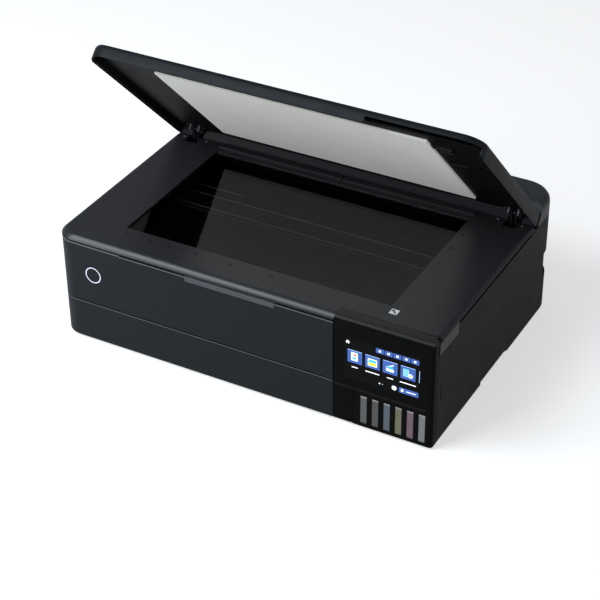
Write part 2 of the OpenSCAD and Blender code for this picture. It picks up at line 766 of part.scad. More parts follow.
pulley_r = 7;
belt_t = 1.2;
belt_y = feed_y + 4;
belt_w = 6;
belt_z = 102;
drive_x = frame_left + 16;
idler_x = frame_right - 14;
module carriage_motor() color("#9a9da1") difference() {
    union() {
        rod_y(drive_x, beam_y + plate_t + 14, beam_y + plate_t + 38, belt_z, motor_r);
        rod_y(drive_x, beam_y + plate_t, beam_y + plate_t + 14 + eps, belt_z, 8);
    }
    rod_y(drive_x, beam_y, beam_y + plate_t + 20, belt_z, 2 + run_gap);
}
module drive_pulley() color("#c9a24a") {
    rod_y(drive_x, belt_y, belt_y + belt_w, belt_z, pulley_r);
    rod_y(drive_x, belt_y + belt_w - eps, beam_y + plate_t + 19, belt_z, 2);
}
module idler_pulley() color("#d0d2d5") difference() {
    rod_y(idler_x, belt_y, belt_y + belt_w, belt_z, pulley_r);
    rod_y(idler_x, belt_y - 2, belt_y + belt_w + 1, belt_z, 2.5 + run_gap);
}
module carriage_belt() color("#1a1a1a") {
    inner = pulley_r + 0.1;
    translate([0, belt_y + belt_w, belt_z]) rotate([90, 0, 0]) linear_extrude(belt_w) difference() {
        union() {
            for (x = [drive_x, idler_x]) translate([x, 0]) circle(inner + belt_t, $fn = 64);
            translate([drive_x, -inner - belt_t]) square([idler_x - drive_x, 2 * (inner + belt_t)]);
        }
        for (x = [drive_x, idler_x]) translate([x, 0]) circle(inner, $fn = 64);
        translate([drive_x, -inner]) square([idler_x - drive_x, 2 * inner]);
    }
}

carriage_x1 = frame_right - 8;
carriage_x0 = carriage_x1 - carriage_w;
carriage_travel = carriage_x0 - frame_left - plate_t - 12;
module print_carriage() color("#1b1c1e") difference() {
    union() {
        box([carriage_x0, feed_y - 72, feed_z + 10], [carriage_x1, feed_y, mech_top - 1]);
        // Belt clamp
        box([carriage_x0 + 36, feed_y - eps, belt_z - pulley_r - 5],
            [carriage_x0 + 56, belt_y + belt_w + 1, belt_z - pulley_r + 3]);
    }
    rod_x(carriage_x0 - 1, carriage_x1 + 1, rod_y0, rod_z0, rod_r + run_gap);
    box([carriage_x0 + 35, belt_y - 0.6, belt_z - pulley_r - belt_t - 0.7],
        [carriage_x0 + 57, belt_y + belt_w + 0.5, belt_z - pulley_r + 0.4]);
    // Wells for the ink dampers
    for (i = [0:5])
        box([carriage_x0 + 5 + i * 14, feed_y - 68, 92], [carriage_x0 + 16 + i * 14, feed_y - 26, mech_top]);
}
module print_head() color("#8b8e92") {
    box([carriage_x0 + 14, feed_y - 62, feed_z + 4.5], [carriage_x1 - 14, feed_y - 24, feed_z + 10]);
}

// ---- Rear paper feed ---------------------------------------------------------------

slope_foot = rear - 68.5;
slope_top = rear - 53.5;
housing_top = 168;
slot_front = rear - 47.5;
flap_t = 2;
flap_barrel_r = 1.6;
flap_pin_r = 0.9;
flap_back_gap = 1;
flap_axis_y = rear - 10;
flap_axis_z = housing_top - flap_barrel_r;
edge_r = 10;
housing_bottom = base_top + part_gap;

// Thin slice of the footprint, moved in, used to round the housing's top
module slice(inset, z) {
    translate([0, 0, z]) linear_extrude(slice_t) footprint_soft(inset);
}
module footprint_soft(inset) {
    r = rear_corner_r - inset;
    for (s = [-1, 1]) {
        translate([s * (right - inset - r), rear - inset - r]) circle(r, $fn = 40);
        translate([s * (right - inset) - (s > 0 ? 1 : 0), rear - 120.5]) square(1);
    }
}
module housing_solid(t) {
    top = housing_top - t;
    hull() {
        slice(t, housing_bottom - (t > 0 ? 1 : 0));
        slice(t, top - edge_r);
        slice(t + edge_r * 0.07, top - edge_r * 0.62);
        slice(t + edge_r * 0.29, top - edge_r * 0.29);
        slice(t + edge_r * 0.62, top - edge_r * 0.07);
        slice(t + edge_r, top - slice_t);
    }
}
module slope_profile(t) {
    polygon([[slope_foot + t, housing_bottom - 2], [slope_foot + t, housing_bottom + 3],
            [slope_top + t, housing_top],
        [slope_top + t, housing_top + 5], [rear + 5, housing_top + 5], [rear + 5, housing_bottom - 2]]);
}
arm_x = right - 55.5;
arm_w = 8;
slot_w = 2 * (arm_x - arm_w / 2 - slot_side);
module rear_housing() color(charcoal) {
    housing_shell();
    housing_tabs();
}
module housing_shell() difference() {
    intersection() {
        housing_solid(0);
        along_x(left - 1, right + 1) slope_profile(0);
    }
    intersection() {
        housing_solid(wall);
        along_x(left - 1, right + 1) slope_profile(wall * 1.2);
    }
    // Paper slot under the flap
    box([-slot_w / 2 - slide_gap, slot_front - slide_gap, housing_top - 20],
        [slot_w / 2 + slide_gap, flap_axis_y + flap_barrel_r + flap_back_gap, housing_top + 1]);
    // Hinge blocks at the slot's ends
    for (s = [-1, 1])
        box([s * (slot_w / 2 + 3.5) - 3, flap_axis_y - 2.6, housing_top - 4.6],
            [s * (slot_w / 2 + 3.5) + 3, flap_axis_y + 2.6, housing_top + 1]);
    // Slots for the scanner's hinge arms
    for (s = [-1, 1])
        box([s * arm_x - arm_w / 2 - 1, slope_foot - 2, housing_bottom - 3],
            [s * arm_x + arm_w / 2 + 1, pivot_y - 8, pivot_z + 5]);
}
module housing_tabs() {
    for (x = [left + 61.5, 0, right - 61.5]) {
        box([x - 15, rear - wall - 2, base_top - 8], [x + 15, rear - wall, housing_bottom + 6]);
        box([x - 15, rear - wall - 2, housing_bottom + 1], [x + 15, rear - wall + eps, housing_bottom + 6]);
    }
}
module feed_hinge_blocks() difference() {
    for (s = [-1, 1])
        box([s * (slot_w / 2 + 3.5) - 3, flap_axis_y - 2.6, housing_top - 4.6],
            [s * (slot_w / 2 + 3.5) + 3, flap_axis_y + 2.6, housing_top]);
    rod_x(-slot_w, slot_w, flap_axis_y, flap_axis_z, flap_pin_r + run_gap);
}
module feed_cover() color(charcoal) {
    box([-slot_w / 2, slot_front, housing_top - flap_t], [slot_w / 2, flap_axis_y, housing_top]);
    rod_x(-slot_w / 2, slot_w / 2, flap_axis_y, flap_axis_z, flap_barrel_r);
    rod_x(-slot_w / 2 - 6, slot_w / 2 + 6, flap_axis_y, flap_axis_z, flap_pin_r);
    // Stiffening ribs
    for (x = [22 - slot_w / 2, slot_w / 2 - 22])
        box([x, slot_front + 3, housing_top - flap_t - 1.5],
            [x + 1.5, slot_front + 12, housing_top - flap_t + eps]);
}

// The paper rests on a bed that leans back; all feed parts share its slope
bed_lean = 20;
bed_top_y = rear - 33.5;
bed_top_z = 157;
bed_len = 84;
bed_t = 2.5;
// Places children in the bed's own frame: X across, Y out of the bed, Z up along it
module on_bed(y = bed_top_y, z = bed_top_z) {
    translate([0, y, z]) rotate([-bed_lean, 0, 0]) children();
}
module feed_bed() color("#202225") {
    on_bed() box([-slot_w / 2 + 2, 0, -bed_len], [slot_w / 2 - 2, bed_t, 0]);
    // Curved chute towards the feed roller
    foot = [bed_top_y - bed_len * sin(bed_lean), bed_top_z - bed_len * cos(bed_lean)];
    along_x(-slot_w / 2 + 2, frame_right)
        polygon([[foot[0] + bed_t * 0.3, foot[1] + 3], [foot[0] + bed_t * 1.1, foot[1]],
            [foot[0] - 10, feed_z + 6], [feed_y + 30, feed_z + 2.5], [feed_y + 30, feed_z + 5],
            [foot[0] - 12, feed_z + 9.5]]);
}
support_len = 66;
support_t = 2;
module paper_support() color("#202225")
    on_bed() box([62 - slot_w / 2, bed_t + slide_gap, -support_len - 6],
        [slot_w / 2 - 62, bed_t + slide_gap + support_t, -4]);
module support_extension() color("#2a2c2f")
    on_bed() box([102 - slot_w / 2, bed_t + 2 * slide_gap + support_t, -support_len + 2],
        [slot_w / 2 - 102, bed_t + 2 * slide_gap + 2 * support_t, -5]);
guide_x = slot_w / 2 - 7;
guide_t = 2;
module edge_guide(s) on_bed() {
    x0 = s > 0 ? guide_x - guide_t : -guide_x;
    box([x0, -11, -44], [x0 + guide_t, -slide_gap, -8]);
    foot0 = s > 0 ? x0 - 18 : x0;
    box([foot0, -slide_gap - 1.5, -44], [foot0 + 18 + guide_t, -slide_gap, -24]);
}
module left_edge_guide() color("#3a3c40") edge_guide(-1);
module right_edge_guide() color("#3a3c40") edge_guide(1);

module rear_cover() color(charcoal) {
    b = rear_cover_box;
    box([b[0], rear - 14, b[2]], [b[1], rear, b[3]]);
    box([b[0] + 4, rear - eps, b[2] + 4], [b[1] - 4, rear + rear_bulge, b[3] - 4]);
}
// Clearance from the feed roller's axis to the maintenance box and the power supply
box_clear = 48.5;
supply_clear = 48;
module maintenance_box() color("#26282b") {
    b = box_bay;
    box([b[0], feed_y + box_clear, b[2]], [b[1], rear, b[3]]);
}

// ---- Deck under the scanner
deck_z = mech_top - 1.5;
deck_t = 2;
module inner_deck() color("#232528") translate([0, 0, deck_z]) linear_extrude(deck_t) difference() {
    intersection() {
        footprint(wall);
        translate([left, front + wall]) square([body_w, scan_rear - 3.5 - front - wall]);
    }
    // Room for the power button's travel
    translate([button_x - button_r - 3, front]) square([2 * button_r + 6, wall + 5]);
    // Room for the print mechanism
    translate([frame_left - 1, feed_y - 112]) square([frame_right + plate_t + 2 - frame_left, body_d]);
    // Room for the ink tanks and the control panel
    translate([unit_left - 2, front]) square([unit_w + 2, bay_wall + bay_wall_t + 0.5 - front]);
    translate([tank_x(0) - tank_pitch / 2 - 1, front]) square([unit_w, tank_hinge_y + 5 - front]);
}

// ---- Electronics ---------------------------------------------------------------------

supply_w = 62;
supply_top = 47;
socket_depth = 13;
module power_supply() color("#8f9296")
    box([left + 21.5, feed_y + supply_clear, floor_z],
        [left + 21.5 + supply_w, rear - socket_depth, supply_top]);

board_front = front + 79.5;
board_rear = rear - 50.5;
board_bottom = 14;
board_top = 112;
board_gap = 6;
board_t = 1.6;
module main_board() color("#1f5a34") {
    box([left + board_gap, board_front, board_bottom], [left + board_gap + board_t, board_rear, board_top]);
    for (y = [board_front + 10, board_rear - 10], z = [board_bottom + 8, board_top - 8])
        rod_x(left + wall, left + board_gap + eps, y, z, 2.5, 24);
    for (p = [[30, 40], [80, 60], [140, 30], [200, 70]])
        box([left + board_gap + board_t - eps, board_front + p[0], p[1]],
            [left + 11, board_front + p[0] + 22, p[1] + 22]);
}
module mains_inlet() color("#0e0e0e") difference() {
    b = inlet_box;
    box([b[0], rear - socket_depth, b[2]], [b[1], rear, b[3]]);
    box([b[0] + 4, rear - socket_depth + 2, b[2] + 7], [b[1] - 4, rear + 1, b[3] - 7]);
}
module data_ports() color("#b7babd") {
    b = port_box;
    difference() {
        box([b[0], rear - 12, b[2]], [b[1], rear - 0.5, b[3]]);
        box([b[0] + 5, rear - 10, b[2] + 7], [b[0] + 14, rear + 1, b[2] + 15]);
        box([b[1] - 18, rear - 10, b[2] + 6], [b[1] - 5, rear + 1, b[2] + 16]);
    }
}

screw_r = 3;
screw_h = 1.2;
module casing_screws() color(steel)
    for (x = [left + 61.5, -60, 60, right - 61.5], y = [front + 39.5, rear - 30.5])
        translate([x, y, foot_h - screw_h]) cylinder(h = screw_h, r = screw_r, $fn = 24);

// ---- Scanner unit ----------------------------------------------------------------------

scan_z = base_top + seam_gap;
platform_z = scan_z + frame_h;
scan_rear = rear - 79;
case_bottom = scan_z - case_depth;
case_x = right - 15.5;
case_front = front + 25.5;
case_rear = scan_rear - 1.5;
win_x0 = left + window_left;
win_x1 = right - window_right;
win_y0 = front + window_front;
win_y1 = scan_rear - window_back;
pivot_y = rear - 40.5;
pivot_z = 153;

// Slice of the scanner's top, with its own inset at the front
module top_slice(side, nose, z) {
    r = front_corner_r - side;
    translate([0, 0, z]) linear_extrude(slice_t) {
        translate([left + side + r, front + nose + r]) circle(r, $fn = 48);
        translate([right - side - unit_corner_r, front + nose + unit_corner_r])
            circle(unit_corner_r, $fn = 16);
        translate([left + side, scan_rear - 1]) square(1);
        translate([right - side - 1, scan_rear - 1]) square(1);
    }
}
module scanner_top(up = 0) {
    hull() {
        top_slice(0, 0, scan_z);
        top_slice(0.2, 0.4, scan_z + 0.8 + up);
        top_slice(2, 3.5, scan_z + frame_h * 0.62 + up);
        top_slice(4.5, 8.5, scan_z + frame_h * 0.9 + up);
        top_slice(7, 14, platform_z - slice_t + up);
    }
}
// Notch for the control panel
module panel_notch(z0, z1) {
    box([unit_left - 0.6, front - 2, z0], [right + 2, front + panel_depth + 1.2, z1]);
}
module scanner_frame() color(charcoal) {
    difference() {
        scanner_top();
        panel_notch(scan_z - 1, platform_z + 1);
        // Hollow under the skin
        box([-case_x + 4, case_front + 6, scan_z - 1], [case_x - 4, case_rear - 4, platform_z - frame_skin]);
        box([win_x0, win_y0, scan_z - 1], [win_x1, win_y1, platform_z + 1]);
        for (s = [-1, 1])
            box([s * hinge_x - 9, scan_rear - 15.5, scan_z - 1],
                [s * hinge_x + 9, scan_rear + 1, platform_z + 1]);
    }
    // Raised bars behind the glass
    for (b = [[win_x0 - 3, -5], [-3, win_x1 + 3]])
        box([b[0], scan_rear - 10.5, platform_z - eps], [b[1], scan_rear - 0.5, platform_z + 2]);
    // Finger lip under the front edge
    box([lip_x - lip_w / 2, front + 0.4, scan_z - lip_h - 1], [lip_x + lip_w / 2, front + 3, scan_z + 0.4]);
    // Skirt on the right side, down to the right cover's dropped edge
    box([right - wall, front + strip_depth + 2.7, base_top - step_drop + seam_gap],
        [right, step_y - 0.6, scan_z + 0.8]);
}
hinge_x = right - 29.5;
lid_y = scan_rear + 4.5;
lid_z = 143.7;
module scanner_case() color("#1a1b1d") {
    difference() {
        box([-case_x, case_front, case_bottom], [case_x, case_rear, scan_z]);
        box([-case_x + wall, case_front + wall, case_bottom + wall],
            [case_x - wall, case_rear - wall, scan_z + 1]);
        rod_x(-case_x - 1, case_x + 1, scan_rod_y, scan_rod_z, scan_rod_r);
    }
    // Ribs under the glass
    for (y = [-67, -12, 48, 80])
        box([-case_x + wall - eps, scan_rod_y + y, case_bottom + wall - eps],
            [case_x - wall + eps, scan_rod_y + y + 2, case_bottom + wall + 1]);
    // Arms of the lift hinge
    for (s = [-1, 1]) difference() {
        along_x(s * arm_x - arm_w / 2, s * arm_x + arm_w / 2) union() {
            polygon([[case_rear - eps, case_bottom + 4], [pivot_y - 6, case_bottom + 8],
                [pivot_y + 5, pivot_z - 6],
                [pivot_y - 5, pivot_z - 2],
                [pivot_y - 12, case_bottom + 18], [case_rear - eps, case_bottom + 18]]);
            translate([pivot_y, pivot_z]) circle(6, $fn = 48);
        }
        rod_x(s * arm_x - arm_w, s * arm_x + arm_w, pivot_y, pivot_z, pivot_pin_r + run_gap);
    }
    // Ears that hold the lid's pins
    for (s = [-1, 1], e = [-8, 5]) difference() {
        along_x(s * hinge_x + e, s * hinge_x + e + 3) union() {
            polygon([[case_rear - eps, case_bottom + 4], [lid_y - 2, case_bottom + 4], [lid_y + 4, lid_z - 3],
                [lid_y + 4, lid_z], [case_rear - eps, lid_z]]);
            translate([lid_y, lid_z]) circle(4.3, $fn = 48);
        }
        rod_x(s * hinge_x - 10, s * hinge_x + 10, lid_y, lid_z, lid_pin_r + run_gap);
    }
}
scan_rod_y = (win_y0 + win_y1) / 2;
scan_rod_z = case_bottom + wall + 6;
module scan_rod() color("#d8dadd") rod_x(-case_x, case_x, scan_rod_y, scan_rod_z, scan_rod_r);
module scan_glass() color("#a8b4b8", 0.35)
    box([win_x0 - 6, win_y0 - 6, platform_z - frame_skin - glass_t],
        [win_x1 + 6, win_y1 + 6, platform_z - frame_skin]);
head_x = case_x - wall - 6 - scan_head_w;
module scan_head() color("#111214") difference() {
    box([head_x, win_y0 - 2, scan_rod_z - 4],
        [head_x + scan_head_w, win_y1 + 2, platform_z - frame_skin - glass_t - 0.6]);
    rod_x(head_x - 1, head_x + scan_head_w + 1, scan_rod_y, scan_rod_z, scan_rod_r + run_gap);
}
pivot_pin_r = 3;
pivot_block_t = 5;
pivot_side_gap = 1;
module hinge_blocks() color(charcoal) {
    feed_hinge_blocks();
    scanner_pivot_blocks();
}
module scanner_pivot_blocks() for (s = [-1, 1]) {
    for (e = [-1, 1]) {
        mid = s * arm_x + e * (arm_w / 2 + pivot_side_gap + pivot_block_t / 2);
        box([mid - pivot_block_t / 2, pivot_y - 6, pivot_z - 10],
            [mid + pivot_block_t / 2, pivot_y + 6, housing_top - wall]);
    }
    reach = arm_w / 2 + pivot_side_gap + pivot_block_t / 2;
    rod_x(s * arm_x - reach, s * arm_x + reach, pivot_y, pivot_z, pivot_pin_r);
}

// ---- Lid ----------------------------------------------------------------------------------

lid_rim = scan_z + 1.5;
lid_top = lid_rim + lid_h;
lid_lean = 7;
module lid_slice(inset, z) {
    k = (z - lid_rim) / lid_h;
    y1 = lid_y - lid_lean * k - inset;
    r = lid_corner_r - inset;
    translate([0, 0, z]) linear_extrude(slice_t) {
        for (s = [-1, 1]) {
            translate([s * (right - inset - r), front + lid_front_gap + inset + r]) circle(r, $fn = 48);
            translate([s * (right - inset - 3), y1 - 3]) circle(3, $fn = 16);
        }
    }
}
module lid_solid(t) {
    hull() {
        lid_slice(t, lid_rim - (t > 0 ? 1 : 0));
        lid_slice(t, lid_top - t / 2 - 6);
        lid_slice(t + 0.8, lid_top - t - 3);
        lid_slice(t + 2.6, lid_top - t - 0.9);
        lid_slice(t + 5.2, lid_top - t - slice_t);
    }
}
module at_lid() {
    translate([0, lid_y, lid_z]) rotate([-lid_open, 0, 0]) translate([0, -lid_y, -lid_z]) children();
}
mat_z = lid_rim + 8;
mat_w = win_x1 - win_x0 - mat_less_w;
mat_d = win_y1 - win_y0 + mat_more_d;
mat_x = (win_x0 + win_x1) / 2 + 4.7;
mat_rear = win_y1 - 7.3;
plate_z = mat_z + mat_t;
lid_slot_x = right - 68.5;
lid_slot_y = front + 114;
lid_slot_w = 16;
lid_slot_d = 9;
module lid_shell() color(charcoal) at_lid() {
    difference() {
        lid_solid(0);
        lid_solid(lid_wall);
        scanner_top(0.6);
        // Room over the control panel
        box([unit_left - 14, front - 1, lid_rim - 2], [right + 1, front + panel_depth + 3, panel_top + 5]);
        box([left - 1, scan_rear - 1, lid_rim - 2], [right + 1, scan_rear + slide_gap, platform_z + 0.6]);
        for (s = [-1, 1])
            box([s * hinge_x - 9, lid_y - 6, lid_rim - 2], [s * hinge_x + 9, lid_y + 1, lid_rim + 7]);
    }
    // Arms and pins of the lid hinge
    for (s = [-1, 1]) {
        for (e = [-4.5, 1.5]) along_x(s * hinge_x + e, s * hinge_x + e + 3) union() {
            translate([lid_y, lid_z]) circle(3.8, $fn = 48);
            polygon([[lid_y - 2, lid_z - 3], [lid_y + 1, lid_z + 3.5],
                [lid_y - 6, plate_z], [lid_y - 22, plate_z],
                [lid_y - 16, lid_rim + 6]]);
        }
        rod_x(s * hinge_x - 8, s * hinge_x + 8, lid_y, lid_z, lid_pin_r);
    }
}
// Inner plate that carries the mat
module lid_inner() color(charcoal) at_lid() {
    translate([0, 0, plate_z]) linear_extrude(1.8) difference() {
        round_rect(left + lid_wall, front + panel_depth + 5, right - lid_wall,
            lid_y - lid_lean - 2, [12, 12, 0, 0]);
        // Slot and corner pocket beside the mat
        translate([lid_slot_x, lid_slot_y]) {
            square([lid_slot_w, lid_slot_d]);
            for (x = [0, lid_slot_w]) translate([x, lid_slot_d / 2]) circle(lid_slot_d / 2, $fn = 32);
            translate([lid_slot_w, 0]) polygon([[12, 0], [32, -3], [32, 11]]);
        }
    }
    // Catch beside the mat
    box([lid_slot_x, lid_slot_y - 60, plate_z - 2.4], [lid_slot_x + 20, lid_slot_y - 42, plate_z + eps]);
}
module document_mat() color("#aaaaa5") at_lid()
    box([mat_x - mat_w / 2, mat_rear - mat_d, mat_z], [mat_x + mat_w / 2, mat_rear, plate_z]);

base_pan();
rubber_feet();
left_cover();
right_cover();
rear_panel();
front_fascia();
rear_housing();
feed_bed();
print_frame();
carriage_rod();
platen();
main_board();
power_supply();
mains_inlet();
data_ports();
feed_motor();
carriage_motor();
carriage_belt();
ink_tanks();
tank_caps();
tank_bezel();
tank_windows();
card_reader();
hinge_blocks();
inner_deck();
casing_screws();
power_button();
front_cover();
lower_cassette();
upper_cassette();
output_tray();
output_tray_extension();
card_cover();
tank_cover();
panel_housing();
panel_back();
display();
feed_cover();
paper_support();
support_extension();
left_edge_guide();
right_edge_guide();
rear_cover();
maintenance_box();
feed_roller();
exit_roller();
pickup_roller();
motor_pinion();
print_carriage();
print_head();
drive_pulley();
idler_pulley();
scanner_case();
scanner_frame();
scan_glass();
scan_rod();
scan_head();
lid_shell();
lid_inner();
document_mat();
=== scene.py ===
import json
import math

import bmesh
import bpy
from mathutils import Matrix, Vector


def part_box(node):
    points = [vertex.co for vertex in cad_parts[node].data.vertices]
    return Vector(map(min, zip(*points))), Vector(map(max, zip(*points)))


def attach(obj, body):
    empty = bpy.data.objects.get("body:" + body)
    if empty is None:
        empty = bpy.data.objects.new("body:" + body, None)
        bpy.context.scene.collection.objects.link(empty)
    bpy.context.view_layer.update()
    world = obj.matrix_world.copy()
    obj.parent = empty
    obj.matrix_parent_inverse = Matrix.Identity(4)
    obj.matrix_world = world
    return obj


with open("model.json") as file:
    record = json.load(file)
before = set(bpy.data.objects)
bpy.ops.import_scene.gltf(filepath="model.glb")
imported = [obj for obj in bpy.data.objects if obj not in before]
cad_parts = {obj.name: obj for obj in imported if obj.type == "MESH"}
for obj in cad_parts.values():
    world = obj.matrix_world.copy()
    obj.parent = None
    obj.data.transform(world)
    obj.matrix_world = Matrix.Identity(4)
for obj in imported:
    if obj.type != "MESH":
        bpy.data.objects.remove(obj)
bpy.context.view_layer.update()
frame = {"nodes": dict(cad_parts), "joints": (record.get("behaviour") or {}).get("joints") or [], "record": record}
nodes = frame["nodes"]
MM = 0.001
# Thickness of the lid's document mat
MAT_THICKNESS = 3


# ---- Places in millimetres, all worked out from the frame --------------------------------

def corner(node, which):
    """The lowest (0) or highest (1) corner of a CAD node, in millimetres."""
    return Vector(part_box(node)[which]) / MM


joints = {joint["name"]: joint for joint in frame["joints"]}


def joint_place(name):
    return Vector(joints[name]["pos_m"]) / MM


FRONT = corner("front_fascia", 0).y
LEFT = corner("front_fascia", 0).x
RIGHT = corner("right_cover", 1).x
SEAM = corner("front_fascia", 1).z
# Skin of the scanner's top over its glass
GLASS_SKIN = 2.2
TOP = corner("scan_glass", 1).z + GLASS_SKIN
COVER_TOP = corner("front_cover", 1).z
LID_PIVOT = joint_place("lid_hinge")
LID_OPEN = math.radians(-joints["lid_hinge"]["range_deg"][0])
# Radius of the casing's front left corner
FRONT_R = 27.0
# Where the front cover ends on the left corner, in degrees
COVER_TURN = 211
# How far printed marks and thin lines stand out of a face, and how deep the lines reach in
PRINT = 0.04
PROUD = 0.03
SUNK = 0.2
REAR_FACE = corner("rear_panel", 1).y
# Number of ink tanks, and the width of a tank's cap and of its window
TANKS = 6
CAP_WIDTH = 11.0
WINDOW_WIDTH = 8.9
# From the outer ends of the main board's pegs to the foot of its chips, just inside its face
CHIP_FOOT = 5.0
# The lid's rim and the underside of its inner plate, with the lid closed. The rim lies
# RIM_LIFT over the seam, and the mat's face MAT_LIFT over the rim.
RIM_LIFT = 2.5
MAT_LIFT = 8
PLATE_RIM = SEAM + RIM_LIFT
PLATE = PLATE_RIM + MAT_LIFT + MAT_THICKNESS


# ---- Camera ------------------------------------------------------------------------------

CAMERA_PLACE = Vector((0.9197, -1.6862, 1.3211))
CAMERA_PAN = math.radians(29.06)
CAMERA_TILT = math.radians(34.18)
CAMERA_ROLL = math.radians(-0.586)
CAMERA_LENS = 107.13


def make_camera():
    data = bpy.data.cameras.new("camera")
    data.lens = CAMERA_LENS
    data.sensor_width = 36
    camera = bpy.data.objects.new("camera", data)
    bpy.context.scene.collection.objects.link(camera)
    turn = Matrix.Rotation(CAMERA_PAN, 4, "Z") @ Matrix.Rotation(math.pi / 2 - CAMERA_TILT, 4, "X")
    camera.matrix_world = Matrix.Translation(CAMERA_PLACE) @ turn @ Matrix.Rotation(CAMERA_ROLL, 4, "Z")
    bpy.context.scene.camera = camera


# ---- Studio ------------------------------------------------------------------------------

def add_area(name, place, target, width, height, power, colour):
    data = bpy.data.lights.new(name, "AREA")
    data.shape = "RECTANGLE"
    data.size = width
    data.size_y = height
    data.energy = power
    data.color = colour
    lamp = bpy.data.objects.new(name, data)
    lamp.location = place
    aim = Vector(target) - Vector(place)
    lamp.rotation_euler = aim.to_track_quat("-Z", "Y").to_euler()
    bpy.context.scene.collection.objects.link(lamp)


def seen_directly(tree):
    """One where a ray comes straight from the camera or through glass."""
    path = tree.nodes.new("ShaderNodeLightPath")
    either = tree.nodes.new("ShaderNodeMath")
    either.operation = "MAXIMUM"
    tree.links.new(path.outputs["Is Camera Ray"], either.inputs[0])
    tree.links.new(path.outputs["Is Transmission Ray"], either.inputs[1])
    return either.outputs[0]


# The world's light on the printer. Seen directly or through glass, the world is white.
STUDIO_TINT = (0.93, 0.96, 1.0, 1)
STUDIO_LIGHT = 0.2


def make_world():
    world = bpy.data.worlds.new("studio")
    bpy.context.scene.world = world
    world.use_nodes = True
    tree = world.node_tree
    tree.nodes.clear()
    out = tree.nodes.new("ShaderNodeOutputWorld")
    mix = tree.nodes.new("ShaderNodeMixShader")
    dim = tree.nodes.new("ShaderNodeBackground")
    dim.inputs["Color"].default_value = STUDIO_TINT
    dim.inputs["Strength"].default_value = STUDIO_LIGHT
    white = tree.nodes.new("ShaderNodeBackground")
    white.inputs["Color"].default_value = (1, 1, 1, 1)
    white.inputs["Strength"].default_value = 1.0
    tree.links.new(seen_directly(tree), mix.inputs[0])
    tree.links.new(dim.outputs[0], mix.inputs[1])
    tree.links.new(white.outputs[0], mix.inputs[2])
    tree.links.new(mix.outputs[0], out.inputs[0])


# Light the floor gives off: seen directly or through glass, and to all other rays
FLOOR_GLOW = 0.55
FLOOR_BOUNCE = 0.18
# The floor's grey: to all other rays, and seen directly or through glass
FLOOR_GREY_BOUNCE = (0.5, 0.5, 0.5, 1)
FLOOR_GREY = (0.8, 0.8, 0.8, 1)
# Half the floor's width, in metres
FLOOR_HALF = 6


def make_floor():
    mesh = bpy.data.meshes.new("floor")
    form = bmesh.new()
    bmesh.ops.create_grid(form, x_segments=8, y_segments=8, size=FLOOR_HALF)
    form.to_mesh(mesh)
    form.free()
    floor = bpy.data.objects.new("floor", mesh)
    bpy.context.scene.collection.objects.link(floor)
    material = bpy.data.materials.new("floor")
    material.use_nodes = True
    tree = material.node_tree
    tree.nodes.clear()
    out = tree.nodes.new("ShaderNodeOutputMaterial")
    paper = tree.nodes.new("ShaderNodeBsdfDiffuse")
    shade = tree.nodes.new("ShaderNodeMix")
    shade.data_type = "RGBA"
    shade.inputs["A"].default_value = FLOOR_GREY_BOUNCE
    shade.inputs["B"].default_value = FLOOR_GREY
    glow = tree.nodes.new("ShaderNodeEmission")
    lift = tree.nodes.new("ShaderNodeMath")
    lift.operation = "MULTIPLY_ADD"
    lift.inputs[1].default_value = FLOOR_GLOW - FLOOR_BOUNCE
    lift.inputs[2].default_value = FLOOR_BOUNCE
    both = tree.nodes.new("ShaderNodeAddShader")
    direct = seen_directly(tree)
    tree.links.new(direct, shade.inputs["Factor"])
    tree.links.new(shade.outputs["Result"], paper.inputs["Color"])
    tree.links.new(direct, lift.inputs[0])
    tree.links.new(lift.outputs[0], glow.inputs["Strength"])
    tree.links.new(paper.outputs[0], both.inputs[0])
    tree.links.new(glow.outputs[0], both.inputs[1])
    tree.links.new(both.outputs[0], out.inputs[0])
    mesh.materials.append(material)


# Name, place, what it points at, width, height, power and colour; in metres and watts
LAMPS = [
    ("key", (-1.05, -1.25, 1.76), (0, -0.1, 0.12), 1.6, 1.1, 36, (0.86, 0.935, 1.0)),
    ("left", (-1.0, -1.0, 0.55), (-0.22, -0.15, 0.1), 0.5, 0.5, 4.6, (0.93, 0.97, 1.0)),
    ("right", (2.2, 0.2, 1.3), (0.1, 0, 0.1), 1.4, 1.2, 5, (1, 1, 1)),
]


def make_lights():
    for lamp in LAMPS:
        add_area(*lamp)


# ---- Materials ---------------------------------------------------------------------------

def linear(code):
    """A colour written #rrggbb as the shader's linear value."""
    out = []
    for i in (1, 3, 5):
        v = int(code[i:i + 2], 16) / 255
        out.append(v / 12.92 if v <= 0.04045 else ((v + 0.055) / 1.055) ** 2.4)
    return (*out, 1.0)


